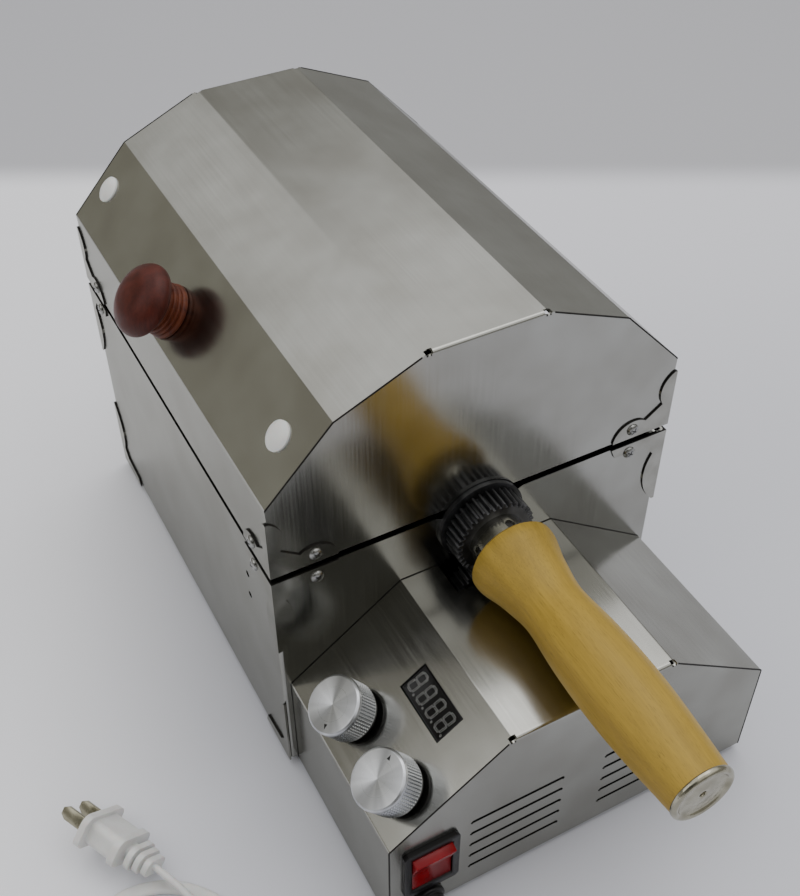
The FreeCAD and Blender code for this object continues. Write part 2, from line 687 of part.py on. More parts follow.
# --- tub of the roasting box --------------------------------------------------------------
def make_tub():
    """Folded open tub with a U notch in each end wall."""
    body = part_body("tub")
    floor_plan = sketch(body, "XY_Plane", "tub_plan", BASE)
    outline(floor_plan, [(f"-{FRONT}", f"-{SIDE}"), (FRONT, f"-{SIDE}"),
                         (FRONT, SIDE), (f"-{FRONT}", SIDE)])
    solid = pad(body, floor_plan, "body_height")
    base_height = number(BASE)
    folds = round_edges(body, solid, "fold_radius", lambda e: runs_along(e, Vector(0, 0, 1))
                        or e.CenterOfMass.z < base_height + 0.01)
    rim_height = number(RIM)
    hollow(body, folds, lambda f: abs(f.CenterOfMass.z - rim_height) < 0.01, "sheet")
    bore = sketch(body, "YZ_Plane", "tub_notch_round")
    circle(bore, "0", AXIS, "notch_radius")
    pocket(body, bore, "body_length + 2 * over", centred=True)
    mouth = sketch(body, "YZ_Plane", "tub_notch_mouth")
    lead_z = f"{RIM} - notch_lead / 2"
    wide = "(notch_radius + notch_lead)"
    outline(mouth, [("-notch_radius", AXIS), ("notch_radius", AXIS), ("notch_radius", lead_z),
                    (wide, RIM), (wide, f"{RIM} + over"), (f"-{wide}", f"{RIM} + over"),
                    (f"-{wide}", RIM), ("-notch_radius", lead_z)])
    pocket(body, mouth, "body_length + 2 * over", centred=True)
    holes = sketch(body, "XZ_Plane", "tub_side_holes", f"{SIDE} - sheet - over")
    for height in ("side_hole_low", "side_hole_high"):
        circle(holes, f"{FRONT} - side_hole_inset", f"{BASE} + {height}", "side_hole_radius")
    pocket(body, holes, "sheet + 2 * over", backwards=True)
    passage = sketch(body, "YZ_Plane", "tub_wire_holes", f"{FRONT} - sheet - over")
    circle(passage, "probe_side", f"{BASE} + probe_rise", "probe_barrel_radius + probe_seat")
    circle(passage, "-wire_hole_side", f"{BASE} + wire_hole_rise", "wire_hole_radius")
    pocket(body, passage, "sheet + 2 * over", backwards=True)
    node("body_tub", body)


def make_liner():
    """Bevelled reflector trough below the drum, hung from the tub's side walls."""
    wide = f"({SIDE} - sheet - liner_gap)"
    top = f"({RIM} - liner_drop)"
    wall = "liner_sheet"
    bevel_y = f"({wide} - liner_bevel)"
    bevel_z = f"({LINER_FLOOR} + liner_bevel_rise)"
    lip = f"({SIDE} - sheet)"
    slant = "(liner_sheet * tan(atan(liner_bevel_rise / liner_bevel) / 2))"
    rise = "(liner_sheet * tan((90 deg - atan(liner_bevel_rise / liner_bevel)) / 2))"
    half = [(lip, top), (lip, f"{top} - {wall}"), (wide, f"{top} - {wall}"),
            (wide, bevel_z), (bevel_y, LINER_FLOOR)]
    inner = [(f"{bevel_y} - {slant}", f"{LINER_FLOOR} + {wall}"),
             (f"{wide} - {wall}", f"{bevel_z} + {rise}"), (f"{wide} - {wall}", top)]
    flip = [(f"-({p[0]})", p[1]) for p in half]
    flip_inner = [(f"-({p[0]})", p[1]) for p in inner]
    body = part_body("liner")
    profile = sketch(body, "YZ_Plane", "liner_profile")
    outline(profile, half + flip[::-1] + flip_inner[::-1] + inner)
    pad(body, profile, "body_length - 2 * sheet - liner_play", centred=True)
    node("reflector_liner", body)


def make_heaters():
    """Two quartz heating tubes in ceramic holders on sheet brackets."""
    tubes, holders, brackets = [], [], []
    bracket_x = "(heater_length / 2 - heater_bracket_inset)"
    for side in ("-1", "1"):
        y = f"{side} * heater_spread"
        tag = "left" if side == "-1" else "right"
        tubes.append(rod(f"heater_{tag}", "heater_radius", "heater_length",
                         ("-heater_length / 2", y, HEATER_AXIS)))
        for end in ("-1", "1"):
            where = "rear" if end == "-1" else "front"
            start = f"{end} * (heater_length / 2 + ceramic_shift) - ceramic_length / 2"
            holder = rod(f"ceramic_{tag}_{where}", "ceramic_radius", "ceramic_length",
                         (start, y, HEATER_AXIS))
            hole = rod(f"ceramic_hole_{tag}_{where}", "heater_radius", "ceramic_length",
                       (start, y, HEATER_AXIS))
            holders.append(cut(f"holder_{tag}_{where}", holder, hole))
    for end in ("-1", "1"):
        where = "rear" if end == "-1" else "front"
        x = f"{end} * {bracket_x}"
        top = f"{HEATER_AXIS} + heater_radius + heater_bracket_top"
        low = f"({LINER_FLOOR} + liner_sheet)"
        plate = block(f"bracket_plate_{where}",
                      ("heater_bracket_sheet", "2 * (heater_spread + heater_bracket_side)",
                       f"{top} - {low}"),
                      (x, "0", f"({top} + {low}) / 2"))
        foot = block(f"bracket_foot_{where}",
                     ("heater_foot", "2 * (heater_spread - heater_foot_inset)",
                      "heater_bracket_sheet"),
                     (f"{x} - {end} * (heater_foot - heater_bracket_sheet) / 2", "0",
                      f"{low} + heater_bracket_sheet / 2"))
        holes = [rod(f"bracket_hole_{where}_{side}", "heater_radius + heater_play",
                     "heater_bracket_sheet + 3 * over",
                     (f"{x} - 2 * over", f"{side} * heater_spread", HEATER_AXIS))
                 for side in (-1, 1)]
        brackets.append(cut(f"bracket_{where}", fuse(f"bracket_blank_{where}", plate, foot), *holes))
    node("quartz_heaters", group("quartz_heaters", *tubes))
    node("heater_ceramics", group("heater_ceramics", *holders))
    node("heater_brackets", group("heater_brackets", *brackets))


def make_probe():
    """Thermocouple with a threaded collar in the front wall."""
    at_y, at_z = "probe_side", f"{BASE} + probe_rise"
    stem = rod("probe_stem", "probe_radius", "probe_length",
               (f"{FRONT} - probe_reach", at_y, at_z))
    barrel = rod("probe_barrel", "probe_barrel_radius", "probe_barrel_length",
                 (f"{FRONT} - probe_barrel_reach", at_y, at_z))
    nut = DOC.addObject("Part::Prism", "probe_nut")
    nut.Polygon = 6
    drive(nut, Circumradius="probe_nut_radius", Height="probe_nut_height")
    stand(nut, (FRONT, at_y, at_z), ALONG_X)
    node("temperature_probe", fuse("temperature_probe", stem, barrel, nut))


def make_feet():
    """Six rubber feet, four under the box and two under the control housing."""
    feet = []
    rows = (("rear", f"-{FRONT} + foot_inset", f"{SIDE} - foot_inset"),
            ("middle", f"{FRONT} - foot_inset", f"{SIDE} - foot_inset"),
            ("front", f"{NOSE} - foot_inset", "cover_width / 2 - foot_inset + foot_shift"))
    for row, x, y in rows:
        for side in (-1, 1):
            cone = DOC.addObject("Part::Cone", f"foot_{row}_{side + 1}")
            drive(cone, Radius1="foot_radius - foot_taper", Radius2="foot_radius", Height="foot_height")
            feet.append(stand(cone, (x, f"{side} * ({y})", "0")))
    node("rubber_feet", group("rubber_feet", *feet))


# --- lid ----------------------------------------------------------------------------------
def make_lid():
    """Seven-sided folded lid with end walls folded down from its top facet."""
    body = part_body("lid")
    profile = sketch(body, "YZ_Plane", "lid_profile")
    outline(profile, [(f"-{SIDE}", LID_FOOT), (SIDE, LID_FOOT), (SIDE, EAVE),
                      (ROOF_MID_Y, ROOF_MID_Z), (ROOF_TOP_Y, ROOF_TOP_Z),
                      (f"-{ROOF_TOP_Y}", ROOF_TOP_Z), (f"-{ROOF_MID_Y}", ROOF_MID_Z),
                      (f"-{SIDE}", EAVE)])
    solid = pad(body, profile, "body_length", centred=True)
    low, top = number(LID_FOOT), number(ROOF_TOP_Z)

    def folds_here(edge):
        across = runs_along(edge, Vector(0, 1, 0)) and abs(edge.CenterOfMass.z - top) < 0.01
        along = runs_along(edge, Vector(1, 0, 0)) and edge.CenterOfMass.z > low + 0.01
        return across or along
    round_edges(body, solid, "fold_radius", folds_here)
    room = sketch(body, "YZ_Plane", "lid_room")
    outline(room, both_sides([
        (f"{SIDE} - sheet", f"{LID_FOOT} - over"),
        inside(SIDE, EAVE, "90 deg", LOWER_SLOPE),
        inside(ROOF_MID_Y, ROOF_MID_Z, LOWER_SLOPE, UPPER_SLOPE),
        inside(ROOF_TOP_Y, ROOF_TOP_Z, UPPER_SLOPE, "0 deg")]))
    pocket(body, room, "body_length - 2 * sheet", centred=True)
    arch = sketch(body, "YZ_Plane", "lid_arch")
    circle(arch, "0", AXIS, "lid_notch_radius")
    pocket(body, arch, "body_length + 2 * over", centred=True)
    for end in (-1, 1):
        where = "front" if end > 0 else "rear"
        relief = sketch(body, "YZ_Plane", f"lid_relief_{where}", f"{end} * {FRONT}")
        for side in (-1, 1):
            circle(relief, f"{side} * {ROOF_TOP_Y}", ROOF_TOP_Z, "relief_radius")
        pocket(body, relief, "fold_radius + relief_extra", backwards=end < 0)
    holes = sketch(body, "XY_Plane", "lid_plug_holes")
    holes.MapMode = "Deactivated"
    lean(holes, ("0", f"-{SIDE}", EAVE), "lower_slope")
    circle(holes, f"{FRONT} - plug_front_inset", "plug_rise", "plug_hole_radius")
    circle(holes, f"-{FRONT} + plug_rear_inset", "plug_rise", "plug_hole_radius")
    circle(holes, "-knob_back", "knob_rise", "knob_hole_radius")
    pocket(body, holes, "sheet + 2 * over", centred=True)
    node("lid_shell", body)


def make_lid_knob():
    """Turned wooden mushroom knob with beaded neck, and the screw that holds it."""
    body = part_body("lid_knob")
    profile = sketch(body, "XZ_Plane", "lid_knob_profile")
    head_z = "(3 * knob_bead)"
    wide_z = f"({head_z} + knob_wide_rise)"
    points = [("0", "0"), ("knob_base_radius", "0", "knob_bead_bow"),
              ("knob_base_radius - knob_first_step", "knob_bead", "knob_bead_bow"),
              ("knob_base_radius - knob_second_step", "2 * knob_bead", "knob_bead_bow"),
              ("knob_base_radius - knob_third_step", head_z, "-knob_hollow"),
              ("knob_base_radius + knob_shoulder", f"{head_z} + knob_shoulder_rise",
               "knob_shoulder_bow"),
              ("knob_head_radius", wide_z, "knob_crown_bow"),
              ("knob_crown_radius", "knob_height"), ("0", "knob_height")]
    outline(profile, points)
    revolve(body, profile, "Z_Axis")
    screw_hole = sketch(body, "XY_Plane", "lid_knob_hole")
    circle(screw_hole, "0", "0", "knob_screw_radius")
    pocket(body, screw_hole, "knob_screw_depth", backwards=True)
    at = ("-knob_back", f"-{SIDE} + knob_rise * cos(lower_slope)",
          f"{EAVE} + knob_rise * sin(lower_slope)")
    lean(body, at, "lower_slope")
    node("lid_knob", body)
    shank = rod("knob_screw_shank", "knob_screw_radius", "knob_screw_depth + sheet",
                ("0", "0", "-sheet"), UP)
    head = rod("knob_screw_head", "knob_screw_head", "knob_screw_head_height",
               ("0", "0", "-sheet - knob_screw_head_height"), UP)
    screw = fuse("knob_screw_solid", shank, head)
    node("lid_knob_screw", lean(screw, at, "lower_slope"))


def make_hole_plugs():
    """White snap-in plugs in the lid's lower facet."""
    plugs = []
    places = (("front", f"{FRONT} - plug_front_inset"), ("rear", f"-{FRONT} + plug_rear_inset"))
    for where, x in places:
        body = part_body(f"plug_{where}")
        profile = sketch(body, "XZ_Plane", f"plug_profile_{where}")
        outline(profile, [("0", "-plug_stem"), ("plug_stem_tip", "-plug_stem"),
                          ("plug_stem_radius", "-sheet - plug_snap"), ("plug_stem_radius", "0"),
                          ("plug_radius", "0"), ("plug_radius", "plug_rim", "plug_bow"),
                          ("plug_crown_radius", "plug_crown"), ("0", "plug_crown")])
        revolve(body, profile, "Z_Axis")
        lean(body, (x, f"-{SIDE} + plug_rise * cos(lower_slope)",
                    f"{EAVE} + plug_rise * sin(lower_slope)"), "lower_slope")
        plugs.append(body)
    node("lid_hole_plugs", group("lid_hole_plugs", *plugs))


# --- hinges -------------------------------------------------------------------------------
def make_hinges():
    """Two butt hinges on the far side, each with two leaves and a pin."""
    body_leaves, lid_leaves, pins = [], [], []
    third = "(hinge_length / 3)"
    for where, side in (("rear", "-1"), ("front", "1")):
        middle = f"({side} * hinge_spread)"
        leaf_y = f"{SIDE} + hinge_sheet / 2"
        low_leaf = block(f"leaf_low_{where}", ("hinge_length", "hinge_sheet", "hinge_leaf"),
                         (middle, leaf_y, f"{HINGE_Z} - knuckle_radius - hinge_leaf / 2"))
        low_web = block(f"leaf_low_web_{where}", ("hinge_length", "hinge_sheet", "knuckle_radius"),
                        (middle, leaf_y, f"{HINGE_Z} - knuckle_radius / 2 - web_lap"))
        high_leaf = block(f"leaf_high_{where}", ("hinge_length", "hinge_sheet", "hinge_leaf"),
                          (middle, leaf_y, f"{HINGE_Z} + knuckle_radius + hinge_leaf / 2"))
        high_web = block(f"leaf_high_web_{where}",
                         (f"{third} - 2 * knuckle_gap", "hinge_sheet", "knuckle_radius"),
                         (middle, leaf_y, f"{HINGE_Z} + knuckle_radius / 2 + web_lap"))
        knuckles = []
        for index in range(3):
            gap_before = "knuckle_gap" if index == 1 else "0"
            start = f"{middle} - hinge_length / 2 + {index} * {third} + {gap_before}"
            long = f"{third} - 2 * {gap_before}"
            knuckles.append(rod(f"knuckle_{where}_{index}", "knuckle_radius", long,
                                (start, HINGE_Y, HINGE_Z)))
        gap = block(f"leaf_gap_{where}", (third, "hinge_sheet * 4", "knuckle_radius * 2.4"),
                    (middle, leaf_y, f"{HINGE_Z} - knuckle_radius / 2"))
        bore_low = rod(f"pin_bore_low_{where}", "pin_radius", "hinge_length + 2 * over",
                       (f"{middle} - hinge_length / 2 - over", HINGE_Y, HINGE_Z))
        bore_high = rod(f"pin_bore_high_{where}", "pin_radius + running_gap", "hinge_length + 2 * over",
                        (f"{middle} - hinge_length / 2 - over", HINGE_Y, HINGE_Z))
        low_plate = cut(f"leaf_low_plate_{where}", fuse(f"leaf_low_blank_{where}", low_leaf, low_web),
                        gap)
        low_full = fuse(f"leaf_low_full_{where}", low_plate, knuckles[0], knuckles[2])
        high_full = fuse(f"leaf_high_full_{where}", high_leaf, high_web, knuckles[1])
        body_leaves.append(cut(f"leaf_low_done_{where}", low_full, bore_low))
        lid_leaves.append(cut(f"leaf_high_done_{where}", high_full, bore_high))
        pins.append(rod(f"hinge_pin_{where}", "pin_radius", "hinge_length + 2 * pin_stand",
                        (f"{middle} - hinge_length / 2 - pin_stand", HINGE_Y, HINGE_Z)))
    node("hinge_body_leaves", group("hinge_body_leaves", *body_leaves))
    node("hinge_lid_leaves", group("hinge_lid_leaves", *lid_leaves))
    node("hinge_pins", group("hinge_pins", *pins))


def screw_head(name, at, turn):
    """A low cheese head that rests on the surface at a point, with the way it faces."""
    cone = DOC.addObject("Part::Cone", name)
    drive(cone, Radius1="screw_radius", Radius2="screw_radius - screw_taper", Height="screw_height")
    return stand(cone, at, turn)


# --- corner guards ------------------------------------------------------------------------
def guard_leaf(name, reach, height, small, plane_turn, outwards):
    """One scalloped leaf of a corner guard, from the corner along +x and up +y."""
    body = part_body(name)
    profile = sketch(body, "XY_Plane", name + "_outline")
    if small:
        scallops = [(reach, "0", f"{reach} * 0.19"),
                    (f"{reach} * 0.43", f"{height} * 0.25"),
                    (f"{reach} * 0.15", f"{height} * 0.45", f"{height} * 0.12")]
    else:
        scallops = [(reach, "0"), (f"{reach} * 0.93", f"{height} * 0.115"),
                    (f"{reach} * 0.33", f"{height} * 0.155"),
                    (f"{reach} * 0.17", f"{height} * 0.28", f"{height} * 0.12")]
    outline(profile, [("-guard_sheet", "0")] + scallops +
            [("guard_tip", height), ("-guard_sheet", height)])
    pad(body, profile, "guard_sheet", backwards=not outwards)
    body.Placement = Placement(Vector(0, 0, 0), plane_turn)
    return body


def make_guards():
    """Scalloped stainless guards round the corners of the lid and of the tub."""
    layouts = (("lid_guard", "lid_guard_height", LID_FOOT, 1, True),
               ("rim_guard", "body_guard_height", RIM, -1, False),
               ("base_guard", "body_guard_height", BASE, 1, False))
    end_turn = Rotation(Vector(0, 1, 0), Vector(0, 0, 1), Vector(1, 0, 0), "ZXY")
    side_turn = Rotation(Vector(-1, 0, 0), Vector(0, 0, 1), Vector(0, 1, 0), "ZXY")
    made = {}
    for stem, height, level, way, small in layouts:
        on_end = guard_leaf(stem + "_end", "guard_foot", height, small, end_turn, True)
        on_side = guard_leaf(stem + "_side", "guard_side_foot", height, small, side_turn, False)
        corner = fuse(stem + "_corner", on_end, on_side)
        if way < 0:
            corner = mirror(stem + "_hung", corner, Vector(0, 0, 1))
        stand(corner, (FRONT, f"-{SIDE}", level))
        across = mirror(stem + "_across", corner, Vector(0, 1, 0))
        behind = mirror(stem + "_behind", corner, Vector(1, 0, 0))
        opposite = mirror(stem + "_opposite", across, Vector(1, 0, 0))
        if stem == "base_guard":
            room = ("4 * over", "body_width + 4 * over", "2 * (body_guard_height + over)")
            housing = block("housing_room", room, (f"{FRONT} + 2 * over", "0", BASE))
            corner = cut(stem + "_trimmed", corner, housing)
            across = cut(stem + "_across_trimmed", across, housing)
        made[stem] = [corner, across, behind, opposite]
    node("lid_corner_guards", group("lid_corner_guards", *made["lid_guard"]))
    node("body_corner_guards", group("body_corner_guards", *made["rim_guard"], *made["base_guard"]))


def guard_screws(stem, level, way):
    """Two screws on each guard, one on the end wall and one on the side wall."""
    heads = []
    z = f"{level} + {way} * guard_foot * guard_screw_rise"
    for end in (-1, 1):
        for side in (-1, 1):
            tag = f"{stem}_{end + 1}{side + 1}"
            on_end = (f"{end} * ({FRONT} + guard_sheet)",
                      f"{side} * ({SIDE} - guard_foot * guard_screw_back)", z)
            on_side = (f"{end} * ({FRONT} - guard_side_foot * guard_screw_back)",
                       f"{side} * ({SIDE} + guard_sheet)", z)
            heads.append(screw_head(tag + "_end", on_end, ALONG_X if end > 0 else AGAINST_X))
            heads.append(screw_head(tag + "_side", on_side, ALONG_Y if side > 0 else AGAINST_Y))
    return heads


def make_screws():
    """Sheet screws of the guards, hinges and control housing, on the tub and on the lid."""
    body_screws = guard_screws("rim_screw", RIM, -1)
    lid_screws = guard_screws("lid_screw", LID_FOOT, 1)
    reach = "(knuckle_radius + hinge_leaf * 0.55)"
    for where, side in (("rear", "-1"), ("front", "1")):
        for offset in (-1, 1):
            x = f"{side} * hinge_spread + {offset} * hinge_length * 0.3"
            low = (x, f"{SIDE} + hinge_sheet", f"{HINGE_Z} - {reach}")
            high = (x, f"{SIDE} + hinge_sheet", f"{HINGE_Z} + {reach}")
            body_screws.append(screw_head(f"hinge_screw_low_{where}_{offset + 1}", low, ALONG_Y))
            lid_screws.append(screw_head(f"hinge_screw_high_{where}_{offset + 1}", high, ALONG_Y))
    for side in (-1, 1):
        for index, x in enumerate(("cover_screw_near", "cover_screw_far")):
            at = (f"{FRONT} + {x}", f"{side} * (cover_width / 2 - cover_screw_inset)", BASE)
            body_screws.append(screw_head(f"cover_screw_{side + 1}{index}", at, DOWN))
    for index, angle in enumerate((-30, -90, -150)):
        at = (f"{FRONT} + motor_face - motor_plate", f"motor_screw_circle * cos({angle})",
              f"{PINION_AXIS} - motor_offset + motor_screw_circle * sin({angle})")
        body_screws.append(screw_head(f"motor_screw_{index}", at, AGAINST_X))
    node("body_screws", group("body_screws", *body_screws))
    node("lid_screws", group("lid_screws", *lid_screws))


# --- control housing ----------------------------------------------------------------------
def on_panel(x_inset, rise, lift="0"):
    """A point over the sloping control panel, from the housing's front and its eave."""
    return (f"{NOSE} - ({x_inset})",
            f"-cover_width / 2 + ({rise}) * cos({PANEL_SLOPE}) - ({lift}) * sin({PANEL_SLOPE})",
            f"{COVER_EAVE} + ({rise}) * sin({PANEL_SLOPE}) + ({lift}) * cos({PANEL_SLOPE})")


def make_cover():
    """Folded cover of the control housing, with its front panel folded down."""
    body = part_body("cover")
    half, top_half = "(cover_width / 2)", "(cover_top_width / 2)"
    profile = sketch(body, "YZ_Plane", "cover_profile", FRONT)
    outline(profile, [(f"-{half}", BASE), (half, BASE), (half, COVER_EAVE),
                      (top_half, COVER_TOP), (f"-{top_half}", COVER_TOP),
                      (f"-{half}", COVER_EAVE)])
    solid = pad(body, profile, "cover_length")
    low, top, nose = number(BASE), number(COVER_TOP), number(NOSE)

    def folds_here(edge):
        centre = edge.CenterOfMass
        across = (runs_along(edge, Vector(0, 1, 0)) and abs(centre.z - top) < 0.01
                  and abs(centre.x - nose) < 0.01)
        return across or (runs_along(edge, Vector(1, 0, 0)) and centre.z > low + 0.01)
    round_edges(body, solid, "fold_radius", folds_here)
    room = sketch(body, "YZ_Plane", "cover_room", f"{FRONT} - over")
    outline(room, both_sides([
        (f"{half} - sheet", f"{BASE} - over"),
        inside(half, COVER_EAVE, "90 deg", PANEL_SLOPE),
        inside(top_half, COVER_TOP, PANEL_SLOPE, "0 deg")]))
    pocket(body, room, "cover_length - sheet + over", backwards=True)
    slot = sketch(body, "XY_Plane", "pinion_slot", f"{COVER_TOP} - sheet - over")
    reach = f"{FRONT} + pinion_slot_length"
    wide = "(pinion_slot_width / 2)"
    outline(slot, [(f"{FRONT} - over", f"-{wide}"), (reach, f"-{wide}"), (reach, wide),
                   (f"{FRONT} - over", wide)])
    pocket(body, slot, "sheet + 2 * over", backwards=True)
    relief = sketch(body, "YZ_Plane", "cover_relief", NOSE)
    for side in (-1, 1):
        circle(relief, f"{side} * {top_half}", COVER_TOP, "relief_radius")
    pocket(body, relief, "fold_radius + relief_extra")
    openings = sketch(body, "YZ_Plane", "front_openings", NOSE)
    window_y = "(switch_width / 2 - switch_window_inset)"
    window_z = "(switch_height / 2 - switch_window_inset)"
    mid_y, mid_z = "-switch_side", f"{BASE} + switch_rise"
    outline(openings, [(f"{mid_y} - {window_y}", f"{mid_z} - {window_z}"),
                       (f"{mid_y} + {window_y}", f"{mid_z} - {window_z}"),
                       (f"{mid_y} + {window_y}", f"{mid_z} + {window_z}"),
                       (f"{mid_y} - {window_y}", f"{mid_z} + {window_z}")])
    circle(openings, "-gland_side", f"{BASE} + gland_rise", "gland_radius - gland_hole_inset")
    pocket(body, openings, "sheet + over")
    add_vents(body)
    panel = sketch(body, "XY_Plane", "panel_openings")
    panel.MapMode = "Deactivated"
    lean(panel, ("0", "-cover_width / 2", COVER_EAVE), PANEL_SLOPE)
    far, near = "(display_length / 2 + display_play)", "(display_width / 2 + display_play)"
    disp_x = f"({NOSE} - display_inset)"
    outline(panel, [(f"{disp_x} - {far}", f"display_rise - {near}"),
                    (f"{disp_x} + {far}", f"display_rise - {near}"),
                    (f"{disp_x} + {far}", f"display_rise + {near}"),
                    (f"{disp_x} - {far}", f"display_rise + {near}")])
    for inset in ("dial_front_inset", "dial_rear_inset"):
        circle(panel, f"{NOSE} - {inset}", "dial_rise", "pot_hole_radius")
    pocket(body, panel, "2 * (sheet + over)", centred=True)
    node("control_cover", body)


def add_vents(body):
    """Rows of ventilation slots on both sides of the front panel."""
    row = sketch(body, "YZ_Plane", "vent_slots", NOSE)
    z = f"({BASE} + vent_bottom)"
    end = "(vent_length / 2 - vent_width / 2)"
    half = "(vent_width / 2)"
    for side in (-1, 1):
        mid = f"{side} * vent_inset"
        outline(row, [(f"{mid} - {end}", f"{z} - {half}"), (f"{mid} + {end}", f"{z} - {half}", ROUND),
                      (f"{mid} + {end}", f"{z} + {half}"), (f"{mid} - {end}", f"{z} + {half}", ROUND)])
    cutting = pocket(body, row, "sheet + over")
    pattern = body.newObject("PartDesign::LinearPattern", "vent_rows")
    pattern.Originals = [cutting]
    axis = [f for f in body.Origin.OriginFeatures if f.Role == "Z_Axis"][0]
    pattern.Direction = (axis, [""])
    drive(pattern, Length="vent_pitch * (vent_count - 1)", Occurrences="vent_count")
    body.Tip = pattern


def make_control_base():
    """Bottom plate of the control housing with upturned flanges."""
    inner = "(cover_width / 2 - sheet)"
    length = "(cover_length - sheet)"
    plate = block("base_plate", (length, f"2 * {inner}", "sheet"),
                  (f"{FRONT} + {length} / 2", "0", f"{BASE} + sheet / 2"))
    flanges = [block(f"base_flange_{side + 1}",
                     (f"{length} - 2 * base_flange_inset", "sheet", "base_flange"),
                     (f"{FRONT} + {length} / 2", f"{side} * ({inner} - sheet / 2)",
                      f"{BASE} + base_flange / 2"))
               for side in (-1, 1)]
    node("control_base", fuse("control_base", plate, *flanges))


def make_display():
    """Four-digit display module in its window, and the small board behind it."""
    module = DOC.addObject("Part::Box", "display_block")
    drive(module, Length="display_length", Width="display_width", Height="display_depth")
    stand(module, ("-display_length / 2", "-display_width / 2", "-display_depth"))
    pocket_cut = DOC.addObject("Part::Box", "display_recess")
    drive(pocket_cut, Length="display_length - 2 * display_rim",
          Width="display_width - 2 * display_rim", Height="over")
    stand(pocket_cut, ("-display_length / 2 + display_rim", "-display_width / 2 + display_rim",
                       "-display_recess"))
    face = cut("display_module_solid", module, pocket_cut)
    lift = "-display_sink"
    node("display_module", lean(face, on_panel("display_inset", "display_rise", lift), PANEL_SLOPE))
    board = DOC.addObject("Part::Box", "display_board_plate")
    drive(board, Length="display_length + 2 * display_board_long",
          Width="display_width + 2 * display_board_wide", Height="board_sheet")
    stand(board, ("-display_length / 2 - display_board_long",
                  "-display_width / 2 - display_board_wide", "0"))
    carrier = group("display_board_carrier", board)
    node("display_board", lean(carrier, on_panel("display_inset", "display_rise",
                                                 f"{lift} - display_depth - board_sheet"), PANEL_SLOPE))


def make_dials():
    """Two aluminium control knobs on potentiometers behind the sloping panel."""
    pots, nuts = [], []
    for which, inset in (("speed", "dial_front_inset"), ("temperature", "dial_rear_inset")):
        at = on_panel(inset, "dial_rise")
        can = rod(f"pot_can_{which}", "pot_radius", "pot_depth", ("0", "0", "-sheet - pot_depth"), UP)
        neck = rod(f"pot_neck_{which}", "pot_neck_radius", "sheet + pot_neck", ("0", "0", "-sheet"), UP)
        bore = rod(f"pot_bore_{which}", "dial_shaft_radius + running_gap", "sheet + pot_bore",
                   ("0", "0", "-sheet - pot_bore_depth"), UP)
        pot = cut(f"pot_{which}", fuse(f"pot_blank_{which}", can, neck), bore)
        pots.append(lean(pot, at, PANEL_SLOPE))
        hexagon = DOC.addObject("Part::Prism", f"pot_hex_{which}")
        hexagon.Polygon = 6
        drive(hexagon, Circumradius="pot_nut_radius", Height="pot_nut_height")
        hole = rod(f"pot_nut_hole_{which}", "pot_neck_radius", "pot_nut_height",
                   ("0", "0", "0"), UP)
        nuts.append(lean(cut(f"pot_nut_{which}", hexagon, hole), at, PANEL_SLOPE))
        body = part_body(f"dial_{which}")
        profile = sketch(body, "XZ_Plane", f"dial_profile_{which}")
        top = "(dial_lift + dial_height)"
        outline(profile, [("dial_shaft_radius", "dial_seat"), ("dial_hollow", "dial_seat"),
                          ("dial_hollow", "dial_lift"), ("dial_radius", "dial_lift"),
                          ("dial_radius", f"{top} - dial_edge"), ("dial_radius - dial_edge", top),
                          ("0", top), ("0", "dial_bore_top"),
                          ("dial_shaft_radius", "dial_bore_top")])
        revolve(body, profile, "Z_Axis")
        node(f"{which}_knob", lean(body, at, PANEL_SLOPE))
        shaft = rod(f"dial_shaft_{which}", "dial_shaft_radius",
                    "dial_shaft_top + sheet + dial_shaft_start",
                    ("0", "0", "-sheet - dial_shaft_start"), UP)
        carrier = group(f"dial_shaft_carrier_{which}", shaft)
        node(f"{which}_knob_shaft", lean(carrier, at, PANEL_SLOPE))
    node("potentiometers", group("potentiometers", *pots))
    node("potentiometer_nuts", group("potentiometer_nuts", *nuts))


